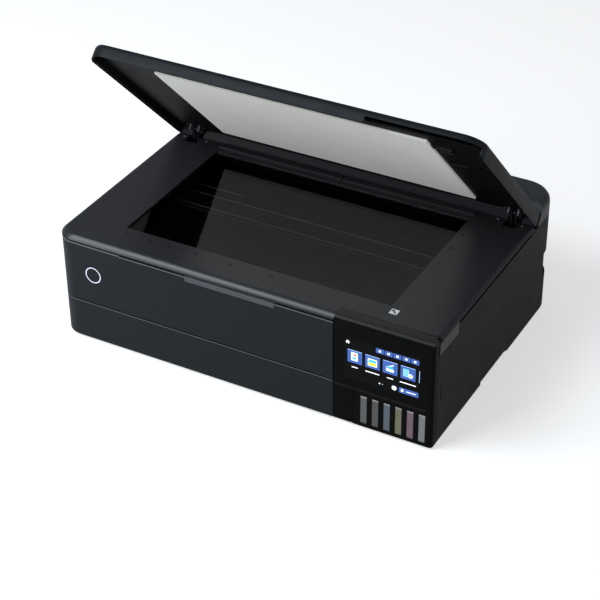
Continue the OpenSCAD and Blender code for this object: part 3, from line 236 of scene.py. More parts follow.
class Look:
    """A Principled material that is put together node by node."""

    def __init__(self, name, colour, rough, spec=0.5, metal=0.0, **more):
        self.material = bpy.data.materials.new(name)
        self.material.use_nodes = True
        self.tree = self.material.node_tree
        self.shader = self.tree.nodes["Principled BSDF"]
        self.colour = linear(colour)
        self.rough = rough
        self.set("Base Color", self.colour)
        self.set("Roughness", rough)
        self.set("Specular IOR Level", spec)
        self.set("Metallic", metal)
        for key, value in more.items():
            self.set(key.replace("_", " "), value)
        self.place = self.add("ShaderNodeTexCoord").outputs["Object"]
        self.height = None

    def set(self, socket, value):
        self.shader.inputs[socket].default_value = value

    def add(self, kind, **values):
        node = self.tree.nodes.new(kind)
        for key, value in values.items():
            setattr(node, key, value)
        return node

    def link(self, a, b):
        self.tree.links.new(a, b)

    def stretched(self, scale):
        """Object coordinates, scaled along each axis."""
        mapping = self.add("ShaderNodeMapping")
        mapping.inputs["Scale"].default_value = scale
        self.link(self.place, mapping.inputs["Vector"])
        return mapping.outputs["Vector"]

    def noise(self, scale, detail=2.0, rough=0.5, stretch=(1, 1, 1)):
        node = self.add("ShaderNodeTexNoise")
        node.inputs["Scale"].default_value = scale
        node.inputs["Detail"].default_value = detail
        node.inputs["Roughness"].default_value = rough
        self.link(self.stretched(stretch), node.inputs["Vector"])
        return node.outputs["Fac"]

    def cells(self, scale):
        node = self.add("ShaderNodeTexVoronoi", feature="F1")
        node.inputs["Scale"].default_value = scale
        self.link(self.place, node.inputs["Vector"])
        return node.outputs["Distance"]

    def range(self, value, low, high, start=0.0, end=1.0):
        node = self.add("ShaderNodeMapRange")
        for i, v in enumerate((start, end, low, high)):
            node.inputs[i + 1].default_value = v
        self.link(value, node.inputs[0])
        return node.outputs[0]

    def vary_colour(self, value, dark=0.85, light=1.12):
        """The base colour, a little darker and lighter from place to place."""
        ramp = self.add("ShaderNodeValToRGB")
        for point, gain in zip(ramp.color_ramp.elements, (dark, light)):
            point.color = (*[min(1.0, c * gain) for c in self.colour[:3]], 1)
        ramp.color_ramp.elements[0].position = 0.3
        ramp.color_ramp.elements[1].position = 0.7
        self.link(value, ramp.inputs["Fac"])
        self.link(ramp.outputs["Color"], self.shader.inputs["Base Color"])

    def vary_rough(self, value, spread):
        self.link(self.range(value, self.rough - spread, self.rough + spread, 0.3, 0.7),
                  self.shader.inputs["Roughness"])

    def bump(self, value, distance, strength=1.0):
        node = self.add("ShaderNodeBump")
        node.inputs["Distance"].default_value = distance
        node.inputs["Strength"].default_value = strength
        self.link(value, node.inputs["Height"])
        if self.height is not None:
            self.link(self.height, node.inputs["Normal"])
        self.height = node.outputs["Normal"]
        self.link(self.height, self.shader.inputs["Normal"])

    def sum(self, a, b, gain=1.0):
        node = self.add("ShaderNodeMath", operation="MULTIPLY_ADD")
        node.inputs[1].default_value = gain
        self.link(b, node.inputs[0])
        self.link(a, node.inputs[2])
        return node.outputs[0]


def grained_plastic(name, colour, rough, spec, grain=0.00002, scale=1400, tone=900, swing=0.1, **more):
    """Moulded plastic with a spark-eroded grain, faint flow marks and handling marks."""
    look = Look(name, colour, rough, spec, **more)
    fine = look.noise(scale, 3.0, 0.6)
    look.bump(look.sum(fine, look.cells(scale * 0.6), 0.6), grain, 0.5)
    look.vary_colour(look.noise(tone, 3.0, 0.6), 1 - swing, 1 + swing)
    look.vary_rough(look.noise(38, 5.0, 0.6), 0.03)
    return look.material


def polished_plastic(name, colour, rough, spec, **more):
    """Smooth plastic with fine dust and a trace of orange peel."""
    look = Look(name, colour, rough, spec, **more)
    look.bump(look.noise(220, 2.0), 0.00001, 0.4)
    look.vary_rough(look.noise(60, 6.0, 0.7), 0.03)
    look.vary_colour(look.noise(1100, 3.0), 0.92, 1.08)
    return look.material


def sheet_metal(name, colour, rough, along=(1, 1, 1), metal=1.0):
    """Rolled or ground metal, its marks drawn out along one axis."""
    look = Look(name, colour, rough, 0.5, metal)
    lines = look.noise(700, 4.0, 0.6, along)
    look.bump(lines, 0.00002, 0.5)
    look.vary_rough(lines, 0.09)
    look.vary_colour(look.noise(30, 4.0), 0.86, 1.06)
    return look.material


# Reach of the shaded round on the scanner's top, along the front and along the sides, in
# millimetres, and how far its shading turns, in degrees
ROUND_FRONT = 14.0
ROUND_SIDE = 6.5
ROUND_TURN = 66


def scanner_skin():
    """Plastic of the scanner's top. The edge's shading turns evenly through the round,
    so that its few CAD steps read as one soft curve."""
    look = Look("casing_top", "#28292c", 0.34, 0.5)

    def math_node(kind, a, b=None, c=None):
        node = look.add("ShaderNodeMath", operation=kind)
        for i, v in enumerate((a, b, c)):
            if isinstance(v, (int, float)):
                node.inputs[i].default_value = v
            elif v is not None:
                look.link(v, node.inputs[i])
        return node.outputs[0]

    split = look.add("ShaderNodeSeparateXYZ")
    look.link(look.place, split.inputs[0])
    x, y = split.outputs["X"], split.outputs["Y"]
    u = math_node("MAXIMUM", math_node("SUBTRACT", math_node("ABSOLUTE", x), (RIGHT - FRONT_R) * MM), 0.0)
    v = math_node("MAXIMUM", math_node("SUBTRACT", (FRONT + FRONT_R) * MM, y), 0.0)
    reach = math_node("MAXIMUM", math_node("SQRT", math_node("ADD", math_node("MULTIPLY", u, u),
                                                             math_node("MULTIPLY", v, v))), 1e-6)
    side = math_node("DIVIDE", math_node("MULTIPLY", u, math_node("SIGN", x)), reach)
    ahead = math_node("DIVIDE", v, reach)
    more_ahead = (ROUND_FRONT - ROUND_SIDE) * MM
    width = math_node("MULTIPLY_ADD", math_node("MULTIPLY", ahead, ahead), more_ahead, ROUND_SIDE * MM)
    inside = math_node("DIVIDE", math_node("SUBTRACT", FRONT_R * MM, reach), width)
    angle = math_node("MULTIPLY", look.range(inside, 1.0, 0.0), math.radians(ROUND_TURN))
    lean = math_node("SINE", angle)
    turned = look.add("ShaderNodeCombineXYZ")
    look.link(math_node("MULTIPLY", side, lean), turned.inputs[0])
    look.link(math_node("MULTIPLY", math_node("MULTIPLY", ahead, lean), -1.0), turned.inputs[1])
    look.link(math_node("COSINE", angle), turned.inputs[2])
    world = look.add("ShaderNodeVectorTransform", vector_type="NORMAL",
                     convert_from="OBJECT", convert_to="WORLD")
    look.link(turned.outputs[0], world.inputs[0])
    normal = look.add("ShaderNodeNewGeometry").outputs["Normal"]
    local = look.add("ShaderNodeVectorTransform", vector_type="NORMAL",
                     convert_from="WORLD", convert_to="OBJECT")
    look.link(normal, local.inputs[0])
    up = look.add("ShaderNodeSeparateXYZ")
    look.link(local.outputs[0], up.inputs[0])
    choose = look.add("ShaderNodeMix", data_type="VECTOR")
    look.link(math_node("GREATER_THAN", up.outputs["Z"], 0.15), choose.inputs["Factor"])
    look.link(normal, choose.inputs[4])
    look.link(world.outputs[0], choose.inputs[5])
    look.height = choose.outputs[1]
    look.bump(look.sum(look.noise(1400, 3.0, 0.6), look.cells(840), 0.6), 0.00002, 0.5)
    look.vary_colour(look.noise(900, 3.0, 0.6), 0.9, 1.1)
    look.vary_rough(look.noise(38, 5.0, 0.6), 0.02)
    return look.material


def black_trim():
    """Black plastic, satin; its upward faces are painted greyer and glossier, a painted highlight for the light
    falling on them from above.
    """
    look = Look("black_trim", "#0e0e0e", 0.34, 0.06)
    look.bump(look.noise(220, 2.0), 0.00001, 0.4)
    look.vary_rough(look.noise(60, 6.0, 0.7), 0.03)
    normal = look.add("ShaderNodeNewGeometry").outputs["Normal"]
    split = look.add("ShaderNodeSeparateXYZ")
    look.link(normal, split.inputs[0])
    top_highlight = look.range(split.outputs["Z"], 0.0, 1.0, 0.45, 0.95)
    # Painted highlight: faces turned upward get the greyer colour below
    mix = look.add("ShaderNodeMix", data_type="RGBA")
    mix.inputs["A"].default_value = look.colour
    mix.inputs["B"].default_value = linear("#2c2c2c")
    look.link(top_highlight, mix.inputs["Factor"])
    look.link(mix.outputs["Result"], look.shader.inputs["Base Color"])
    look.link(look.range(top_highlight, 0.05, 0.2), look.shader.inputs["Specular IOR Level"])
    return look.material


def lit(name, colour, strength):
    """A lit area of the display or of a lamp, with a fine pixel pattern."""
    look = Look(name, colour, 0.3, 0.1, Emission_Color=linear(colour), Emission_Strength=strength)
    look.vary_colour(look.noise(2400, 1.0), 0.97, 1.0)
    look.set("Base Color", (0.0, 0.0, 0.0, 1))
    return look.material


def ink_level(name, colour):
    """Ink behind a frosted window, with a fine diagonal weave."""
    look = Look(name, colour, 0.42, 0.3)
    wave = look.add("ShaderNodeTexWave", wave_type="BANDS", bands_direction="DIAGONAL")
    wave.inputs["Scale"].default_value = 420
    wave.inputs["Distortion"].default_value = 1.5
    look.link(look.place, wave.inputs["Vector"])
    look.vary_colour(wave.outputs["Fac"], 0.86, 1.1)
    look.bump(wave.outputs["Fac"], 0.00003, 0.4)
    return look.material


def tinted_glass(name, tint, mirror):
    """Thin plate glass: what lies behind it, darkened, with a weak mirror image on top."""
    look = Look(name, "#101212", 0.02)
    look.tree.nodes.remove(look.shader)
    out = look.tree.nodes["Material Output"]
    through = look.add("ShaderNodeBsdfTransparent")
    through.inputs["Color"].default_value = (*tint, 1)
    image = look.add("ShaderNodeBsdfGlossy")
    image.inputs["Color"].default_value = (1, 1, 1, 1)
    image.inputs["Roughness"].default_value = 0.0
    smear = look.noise(5, 3.0)
    weight = look.range(smear, mirror * 0.94, mirror * 1.06, 0.3, 0.7)
    mix = look.add("ShaderNodeMixShader")
    look.link(weight, mix.inputs[0])
    look.link(through.outputs[0], mix.inputs[1])
    look.link(image.outputs[0], mix.inputs[2])
    look.link(mix.outputs[0], out.inputs["Surface"])
    return look.material


def make_looks():
    looks = {}
    looks["casing"] = grained_plastic("casing", "#26292c", 0.42, 0.13)
    looks["casing_top"] = scanner_skin()
    looks["housing"] = grained_plastic("housing", "#2f3235", 0.38, 0.5)
    looks["casing_side"] = grained_plastic("casing_side", "#1a1c21", 0.5, 0.14)
    looks["lid"] = grained_plastic("lid", "#1f2125", 0.45, 0.12)
    looks["lid_under"] = grained_plastic("lid_under", "#121314", 0.5, 0.1)
    # Painted highlight grey, for the finger lip's face and the lid's inner corner wall
    looks["lip"] = grained_plastic("lip", "#54585c", 0.38, 0.4)
    # Painted highlight, for strips along edges that catch the light
    looks["edge_highlight"] = grained_plastic("edge_highlight", "#6d7074", 0.4, 0.4)
    looks["edge_dark"] = grained_plastic("edge_dark", "#1d1d20", 0.4, 0.2)
    looks["gap_black"] = grained_plastic("gap_black", "#030303", 0.8, 0.02)
    looks["lid_pocket"] = grained_plastic("lid_pocket", "#3c3e41", 0.5, 0.2)
    looks["catch_edge"] = grained_plastic("catch_edge", "#3b3833", 0.42, 0.3)
    looks["hinge_metal"] = sheet_metal("hinge_metal", "#8c8c90", 0.4, (1, 1, 1), 0.5)
    looks["screw_dim"] = sheet_metal("screw_dim", "#a4a4a8", 0.4, (1, 1, 1), 0.3)
    looks["encoder"] = polished_plastic("encoder", "#5a5c5e", 0.25, 0.5)
    looks["wire"] = sheet_metal("wire", "#a8a8a4", 0.4, (1, 1, 1), 0.3)
    # A dimmer painted highlight, for the band under the fascia's lit edge and the slot's rear edge
    looks["dim_edge_highlight"] = grained_plastic("dim_edge_highlight", "#43464a", 0.4, 0.3)
    looks["black_trim"] = black_trim()
    looks["dark_inner"] = grained_plastic("dark_inner", "#151617", 0.55, 0.2, 0.00004, 1000)
    looks["deep_inner"] = grained_plastic("deep_inner", "#0b0b0c", 0.6, 0.1, 0.00004, 1000)
    looks["screen"] = polished_plastic("screen", "#020203", 0.12, 0.15)
    # The mat glows a little: painted light that brightens it as light bounced up from the floor would
    looks["mat_white"] = grained_plastic("mat_white", "#eaeae6", 0.8, 0.1, 0.00001, 2400, 40, 0.02,
                                         Emission_Color=linear("#eaeae6"), Emission_Strength=0.18)
    looks["steel_sheet"] = sheet_metal("steel_sheet", "#a9acb0", 0.38, (1, 12, 1))
    looks["bright_rod"] = sheet_metal("bright_rod", "#d2d4d6", 0.16, (30, 1, 1))
    looks["dull_rod"] = sheet_metal("dull_rod", "#2a2b2c", 0.4, (30, 1, 1))
    looks["brass_part"] = sheet_metal("brass_part", "#b58f3e", 0.3, (20, 1, 1))
    looks["rubber_black"] = grained_plastic("rubber_black", "#101010", 0.85, 0.3, 0.00008, 600)
    looks["roller_rubber"] = grained_plastic("roller_rubber", "#26272a", 0.75, 0.3, 0.00008, 700)
    looks["circuit"] = polished_plastic("circuit", "#14502a", 0.35, 0.5)
    looks["metal_case"] = sheet_metal("metal_case", "#8e9195", 0.42, (1, 8, 8))
    looks["port_metal"] = sheet_metal("port_metal", "#aeb1b4", 0.3, (6, 1, 1))
    looks["socket_plastic"] = polished_plastic("socket_plastic", "#0c0c0c", 0.4, 0.3)
    looks["scan_glass"] = tinted_glass("scan_glass", (0.55, 0.56, 0.56), 0.047)
    looks["ink_window"] = polished_plastic("ink_window", "#3c3f42", 0.3, 0.3)
    looks["mark_white"] = grained_plastic("mark_white", "#e4e4e4", 0.5, 0.3)
    looks["mark_dark"] = grained_plastic("mark_dark", "#141516", 0.5, 0.2)
    looks["ring_light"] = lit("ring_light", "#dcd9f0", 0.42)
    for name, code in SCREEN_COLOURS.items():
        looks["lit_" + name] = lit("lit_" + name, code, 1.0)
    for i, code in enumerate(INK_COLOURS):
        looks["ink_%d" % i] = ink_level("ink_%d" % i, code)
    looks["ink_head"] = ink_level("ink_head", "#b4b4b4")
    return looks


SCREEN_COLOURS = {"blue": "#3d5a9c", "white": "#f2f4f8", "cyan": "#35b4e6",
                  "yellow": "#ead31c", "red": "#e0452a", "green": "#4fb36a", "pale": "#a9c6ee"}
INK_COLOURS = ["#707070", "#646363", "#69747f", "#87846b", "#8a7079", "#939393"]


# ---- Making pieces -----------------------------------------------------------------------

# Between faces, in degrees: pieces shade smooth up to SMOOTH_ANGLE, edges are rounded from
# BEVEL_ANGLE on, and CAD nodes show a sharp edge over SHARP_ANGLE
SMOOTH_ANGLE = 35
BEVEL_ANGLE = 32
SHARP_ANGLE = 31
BEVEL_STEPS = 2
# CAD corners closer than this are one corner, in metres
MERGE_GAP = 0.000004


class Form:
    """Solids put together in millimetres; done() makes them one named piece."""

    def __init__(self):
        self.mesh = bmesh.new()

    def prism(self, outline, low, high, axis=2):
        """A solid with this outline, across the axis, from low to high.
        The outline's two numbers are the other two coordinates, in the order x, y, z."""
        rest = [i for i in range(3) if i != axis]
        rings = []
        for level in (low, high):
            ring = []
            for a, b in outline:
                at = [0.0, 0.0, 0.0]
                at[rest[0]], at[rest[1]], at[axis] = a, b, level
                ring.append(self.mesh.verts.new(at))
            rings.append(ring)
        n = len(outline)
        self.mesh.faces.new(rings[0])
        self.mesh.faces.new(list(reversed(rings[1])))
        for i in range(n):
            j = (i + 1) % n
            self.mesh.faces.new((rings[0][j], rings[0][i], rings[1][i], rings[1][j]))
        return self

    def box(self, low, high):
        x0, y0, z0 = low
        x1, y1, z1 = high
        return self.prism([(x0, y0), (x1, y0), (x1, y1), (x0, y1)], z0, z1)

    def rounded(self, low, high, r, axis=2, steps=5):
        """A box with round edges along the axis."""
        a, b = [i for i in range(3) if i != axis]
        outline = round_outline(low[a], low[b], high[a], high[b], r, steps)
        return self.prism(outline, low[axis], high[axis], axis)

    def disc(self, centre, r, low, high, axis=2, steps=32):
        outline = [(centre[0] + r * math.cos(t), centre[1] + r * math.sin(t)) for t in turns(steps)]
        return self.prism(outline, low, high, axis)

    def ring(self, centre, r_out, r_in, low, high, axis=2, steps=64):
        rest = [i for i in range(3) if i != axis]
        loops = []
        for r, level in ((r_out, low), (r_out, high), (r_in, high), (r_in, low)):
            loop = []
            for t in turns(steps):
                at = [0.0, 0.0, 0.0]
                at[rest[0]] = centre[0] + r * math.cos(t)
                at[rest[1]] = centre[1] + r * math.sin(t)
                at[axis] = level
                loop.append(self.mesh.verts.new(at))
            loops.append(loop)
        for k in range(4):
            one, two = loops[k], loops[(k + 1) % 4]
            for i in range(steps):
                j = (i + 1) % steps
                self.mesh.faces.new((one[i], one[j], two[j], two[i]))
        return self

    def strip(self, path, half, low, high):
        """A band of this half width along a path in the XY plane, from low to high."""
        sides = [[], []]
        for i, p in enumerate(path):
            a = path[max(0, i - 1)]
            b = path[min(len(path) - 1, i + 1)]
            d = Vector((b[0] - a[0], b[1] - a[1])).normalized()
            sides[0].append((p[0] - d.y * half, p[1] + d.x * half))
            sides[1].append((p[0] + d.y * half, p[1] - d.x * half))
        return self.prism(sides[0] + sides[1][::-1], low, high)

    def done(self, name, look, body, slot, edge=0.0, lid=False):
        """Turns the solids into one piece that rides on a body. With lid, what was placed as
        with the lid closed is first turned to where the lid rests, open."""
        if lid:
            turn = Matrix.Rotation(-LID_OPEN, 3, "X")
            bmesh.ops.rotate(self.mesh, verts=self.mesh.verts, cent=LID_PIVOT, matrix=turn)
        bmesh.ops.scale(self.mesh, verts=self.mesh.verts, vec=(MM, MM, MM))
        bmesh.ops.recalc_face_normals(self.mesh, faces=self.mesh.faces)
        for e in self.mesh.edges:
            e.smooth = len(e.link_faces) == 2 and e.calc_face_angle() < math.radians(SMOOTH_ANGLE)
        for f in self.mesh.faces:
            f.smooth = True
        mesh = bpy.data.meshes.new(name)
        self.mesh.to_mesh(mesh)
        self.mesh.free()
        piece = bpy.data.objects.new(name, mesh)
        bpy.context.scene.collection.objects.link(piece)
        mesh.materials.append(looks[look])
        if edge:
            add_edges(piece, edge)
        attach(piece, body)


def turns(steps):
    return [2 * math.pi * i / steps for i in range(steps)]


def arc(cx, cy, r, a0, a1, steps=8):
    """Points on an arc, angles in degrees."""
    return [(cx + r * math.cos(math.radians(a0 + (a1 - a0) * i / steps)),
             cy + r * math.sin(math.radians(a0 + (a1 - a0) * i / steps))) for i in range(steps + 1)]


def round_outline(x0, y0, x1, y1, r, steps=5):
    r = min(r, (x1 - x0) / 2 - 0.001, (y1 - y0) / 2 - 0.001)
    return (arc(x1 - r, y0 + r, r, -90, 0, steps) + arc(x1 - r, y1 - r, r, 0, 90, steps)
            + arc(x0 + r, y1 - r, r, 90, 180, steps) + arc(x0 + r, y0 + r, r, 180, 270, steps))


def add_edges(piece, width):
    bevel = piece.modifiers.new("edges", "BEVEL")
    bevel.width = width * MM
    bevel.segments = BEVEL_STEPS
    bevel.limit_method = "ANGLE"
    bevel.angle_limit = math.radians(BEVEL_ANGLE)
    bevel.harden_normals = True
    bevel.use_clamp_overlap = True


def smooth_group():
    """Joins the CAD mesh's split corners and shades it smooth except across real edges."""
    group = bpy.data.node_groups.new("smooth_faces", "GeometryNodeTree")
    group.interface.new_socket("Geometry", in_out="INPUT", socket_type="NodeSocketGeometry")
    group.interface.new_socket("Geometry", in_out="OUTPUT", socket_type="NodeSocketGeometry")
    start = group.nodes.new("NodeGroupInput")
    end = group.nodes.new("NodeGroupOutput")
    merge = group.nodes.new("GeometryNodeMergeByDistance")
    merge.inputs["Distance"].default_value = MERGE_GAP
    faces = group.nodes.new("GeometryNodeSetShadeSmooth")
    edges = group.nodes.new("GeometryNodeSetShadeSmooth")
    edges.domain = "EDGE"
    edges.inputs["Shade Smooth"].default_value = False
    angle = group.nodes.new("GeometryNodeInputMeshEdgeAngle")
    sharp = group.nodes.new("ShaderNodeMath")
    sharp.operation = "GREATER_THAN"
    sharp.inputs[1].default_value = math.radians(SHARP_ANGLE)
    group.links.new(start.outputs[0], merge.inputs[0])
    group.links.new(merge.outputs[0], faces.inputs[0])
    group.links.new(faces.outputs[0], edges.inputs[0])
    group.links.new(angle.outputs["Unsigned Angle"], sharp.inputs[0])
    group.links.new(sharp.outputs[0], edges.inputs["Selection"])
    group.links.new(edges.outputs[0], end.inputs[0])
    return group


bpy.context.scene.view_settings.view_transform = "Standard"
make_camera()
make_world()
make_floor()
make_lights()
looks = make_looks()


# ---- CAD nodes ---------------------------------------------------------------------------

slot_of = {part["node"]: part["material_slot"] for part in frame["record"]["subparts"]}
OTHER_LOOK = {"rear_housing": "housing", "right_cover": "casing_side", "left_cover": "casing_side",
              "rear_panel": "casing_side",
              "scanner_frame": "casing_top", "lid_shell": "lid", "lid_inner": "lid_under",
              "scanner_case": "deep_inner", "scan_rod": "dull_rod", "scan_head": "deep_inner"}
EDGES = {"front_fascia": 0.6, "front_cover": 0.6, "left_cover": 0.5, "right_cover": 0.5, "rear_panel": 0.5,
         "scanner_frame": 0.35, "lid_shell": 0.5, "rear_housing": 0.4, "panel_housing": 0.4,
         "tank_bezel": 0.4, "card_cover": 0.4, "feed_cover": 0.4, "rear_cover": 0.5, "lid_inner": 0.4,
         "document_mat": 0.5, "lower_cassette": 0.4, "upper_cassette": 0.4, "output_tray": 0.3,
         "output_tray_extension": 0.3, "maintenance_box": 0.5, "power_button": 0.3, "print_carriage": 0.5,
         "tank_caps": 0.4, "ink_tanks": 0.6, "mains_inlet": 0.3, "rubber_feet": 0.5}
smooth_faces = smooth_group()
for name, node in nodes.items():
    node.data.materials.clear()
    node.data.materials.append(looks[OTHER_LOOK.get(name, slot_of[name])])
    node.modifiers.new("smooth_faces", "NODES").node_group = smooth_faces
    if name in EDGES:
        add_edges(node, EDGES[name])


# ---- Scanner top -------------------------------------------------------------------------

# Places of the ticks along the front and along the right side of the glass
SIZE_TICKS_X = (-178.5, -144.7, -116.9, -99, -78.9, -29.9, 27.3)
SIZE_TICKS_Y = (41.8, 8, -29.8)
TICK_BAR_HALF = 3
TICK_LINE_HALF = 0.5
# Middle and half width of the white square at the sheet's corner
ORIGIN = (189.0, -147.0)
ORIGIN_HALF = 5.0


def scanner_top():
    """Plain marks beside the glass: ticks for the paper sizes, and the corner the sheet lies in."""
    low, high = TOP, TOP + PRINT
    form = Form()
    for x in SIZE_TICKS_X:
        form.box((x - TICK_BAR_HALF, -150.4, low), (x + TICK_BAR_HALF, -149, high))
        form.box((x - TICK_LINE_HALF, -149, low), (x + TICK_LINE_HALF, -146.6, high))
    for y in SIZE_TICKS_Y:
        form.box((189.5, y - TICK_BAR_HALF, low), (190.9, y + TICK_BAR_HALF, high))
        form.box((186.8, y - TICK_LINE_HALF, low), (189.5, y + TICK_LINE_HALF, high))
    form.done("paper_size_ticks", "mark_dark", "scanner", "casing")
    x, y = ORIGIN
    s = ORIGIN_HALF
    form = Form().box((x - s, y - s, low), (x + s, y + s, high))
    form.done("origin_square", "mark_white", "scanner", "mat_white")
    head = [(x - 3.6, y + 3.6), (x - 3.6, y - 0.6), (x + 0.6, y + 3.6)]
    shaft = [(x - 2.0, y + 0.8), (x - 0.8, y + 2.0), (x + 3.6, y - 2.4), (x + 2.4, y - 3.6)]
    arrow = Form().prism(head, high, high + PRINT)
    arrow.prism(shaft, high, high + PRINT)
    arrow.done("origin_arrow", "mark_dark", "scanner", "black_trim")


LIP_LEFT = -70.0
LIP_RIGHT = 52.0


def finger_lip():
    """A painted highlight on the face of the finger lip at the scanner's lower front edge."""
    low, high = corner("scanner_frame", 0).z, SEAM + 0.6
    x0, x1 = LIP_LEFT, LIP_RIGHT
    outline = [(x0 + 3.5, low + 0.2), (x1 - 3.5, low + 0.2), (x1 - 0.4, low + 2.4), (x1 + 1.5, high),
               (x0 - 1.5, high), (x0 + 0.4, low + 2.4)]
    form = Form().prism(outline, FRONT + 0.02, FRONT + 0.5, axis=1)
    form.done("finger_lip", "lip", "scanner", "casing", edge=0.2)


# Outer radius of the lit ring, its inner radius, and the inner radius of the groove in it
RING_OUT = 11.3
RING_IN = 9.8
RING_GROOVE = 9.3


def power_ring():
    """The lit ring on the rim of the power button's face, and a dark groove inside it."""
    at = joint_place("power_press")
    centre = (at.x, at.z)
    behind = FRONT + SUNK
    ring = Form().ring(centre, RING_OUT, RING_IN, FRONT - PROUD, behind, axis=1)
    ring.done("power_ring", "ring_light", "button", "screen")
    groove = Form().ring(centre, RING_IN, RING_GROOVE, FRONT - 0.01, behind, axis=1)
    groove.done("power_ring_groove", "mark_dark", "button", "casing")


# ---- Edge lines --------------------------------------------------------------------------

# Strips run this far inside a face; with a half width over it they stand out of the face
INSET = 0.2
HIGHLIGHT_HALF = 0.23
SHADE_HALF = 0.22
HIGHLIGHT_FADE_HALF = 0.21


def front_path(x1, left_end, turn_to=180):
    """The front outline from x1 leftwards and round the left corner, just inside the face.
    It ends on the left side at y left_end, or on the corner where turn_to is over 180 degrees."""
    turn = arc(LEFT + FRONT_R, FRONT + FRONT_R, FRONT_R - INSET, 270, turn_to, 12)
    return [(x1, FRONT + INSET)] + turn + ([(LEFT + INSET, left_end)] if turn_to == 180 else [])


# Where the seam steps down, and by how much
STEP_X = -165.0
STEP_DROP = 0.9


def fascia_lines(end):
    """Painted highlight on the fascia's top edge, with a dimmer painted band under it. The seam drops by a step
    right of the power button.
    """
    left_part = [(STEP_X, FRONT + INSET)] + front_path(end, FRONT + FRONT_R + 0.5)[1:]
    right_part = [(end, FRONT + INSET), (STEP_X, FRONT + INSET)]
    right_top = SEAM - STEP_DROP
    form = Form().strip(left_part, HIGHLIGHT_HALF, SEAM - 1.4, SEAM)
    form.strip(right_part, HIGHLIGHT_HALF, right_top - 1.3, right_top)
    form.done("fascia_edge_highlight", "edge_highlight", "base", "casing")
    form = Form().strip(left_part, HIGHLIGHT_FADE_HALF, SEAM - 2.0, SEAM - 1.4)
    form.strip(right_part, HIGHLIGHT_FADE_HALF, right_top - 1.9, right_top - 1.3)
    form.done("fascia_highlight_fade", "dim_edge_highlight", "base", "casing")
    form = Form().strip(right_part, SHADE_HALF, right_top, SEAM)
    form.done("fascia_edge_gap", "gap_black", "base", "casing")


def face_line(name, x0, x1, z0, z1, body):
    """A thin line on a black front face."""
    form = Form().box((x0, FRONT - PROUD, z0), (x1, FRONT + SUNK, z1))
    form.done(name, "edge_dark", body, "black_trim")


def side_line(name, y0, y1, z0, z1, body):
    """A dark line along the seam on the right side."""
    form = Form().box((RIGHT - 0.4, y0, z0), (RIGHT + PROUD, y1, z1))
    form.done(name, "gap_black", body, "casing")


def edge_lines():
    end = corner("front_cover", 1).x
    fascia_lines(end)
    form = Form().strip(front_path(end, FRONT + FRONT_R + 40), SHADE_HALF, SEAM + 1, SEAM + 2.2)
    form.done("scanner_edge_shade", "mark_dark", "scanner", "casing")
    # Painted highlight along the front cover's top edge
    cover_path = front_path(end, FRONT, COVER_TURN)
    form = Form().strip(cover_path, HIGHLIGHT_HALF, COVER_TOP - 0.9, COVER_TOP)
    form.done("cover_edge_highlight", "edge_highlight", "cover", "casing")
    bottom = corner("front_fascia", 0).z
    form = Form().strip(cover_path, SHADE_HALF, bottom, bottom + 0.7)
    form.done("fascia_lower_gap", "gap_black", "base", "casing")
    low = corner("panel_housing", 0)
    face_line("panel_edge_line", low.x + 1, RIGHT - 9, low.z + 0.1, low.z + 0.9, "panel")
    low, high = corner("card_cover", 0), corner("card_cover", 1)
    face_line("card_edge_line", low.x + 0.6, high.x - 0.6, high.z - 0.9, high.z - 0.1, "card_door")
    face_line("bezel_edge_line", high.x + 1, RIGHT - 12, high.z - 1, high.z - 0.2, "base")
    y0, y1 = FRONT + 66.5, corner("scanner_frame", 1).y - 12
    side_line("right_seam_scanner", y0, y1, SEAM + 1, SEAM + 1.8, "scanner")
    side_line("right_seam_cover", y0, y1 + 12, SEAM - 1.6, SEAM, "base")


# ---- Lid ---------------------------------------------------------------------------------

# Front left corner of the straight part of the slot in the lid's inner plate
SLOT_X = RIGHT - 68.5
SLOT_Y = FRONT + 114
# The catch's front, in line with the slot's left end
CATCH_Y = SLOT_Y - 60
# The lid's corner radius, and how far its front stands back from the casing's
LID_CORNER_R = 25.0
LID_FRONT_GAP = 7.5
# From the lid's outer face to the painted highlight on its inner wall
RIM_STRIP_IN = 2.4


def lid_slot():
    """A painted highlight on the slot's rear edge, and the floor of the corner pocket beside it."""
    x, y, z = SLOT_X, SLOT_Y, PLATE
    form = Form()
    form.box((x - 1, y + 8.6, z - 0.4), (x + 18, y + 9.6, z + 0.1))
    form.box((x + 18, y + 7.4, z - 0.4), (x + 20, y + 8.6, z + 0.1))
    form.done("lid_slot_highlight", "dim_edge_highlight", "lid", "casing", lid=True)
    pocket = [(x + 27.6, y - 0.2), (x + 48.4, y - 3.4), (x + 48.4, y + 11.4)]
    form = Form().prism(pocket, z + 1.9, z + 2.6)
    form.done("lid_pocket_floor", "lid_pocket", "lid", "casing", lid=True)


def lid_catch():
    """The catch's raised frame, and its two claws joined by a bar."""
    x, y, z = SLOT_X, CATCH_Y, PLATE
    form = Form()
    for from_y in (1.5, 14.5):
        form.box((x + 1, y + from_y, z - 3.2), (x + 19, y + from_y + 2, z - 2.3))
    for from_x in (5, 13):
        form.box((x + from_x, y + 3.5, z - 3.2), (x + from_x + 2, y + 14.5, z - 2.3))
    form.done("lid_catch_frame", "catch_edge", "lid", "casing", edge=0.2, lid=True)
    form = Form()
    for from_y in (4, 12):
        form.box((x - 12, y + from_y, z - 2), (x - 3, y + from_y + 2, z + 0.1))
    form.box((x - 9, y + 6, z - 1.6), (x - 7, y + 12, z + 0.1))
    form.done("lid_catch_claws", "catch_edge", "lid", "casing", edge=0.2, lid=True)


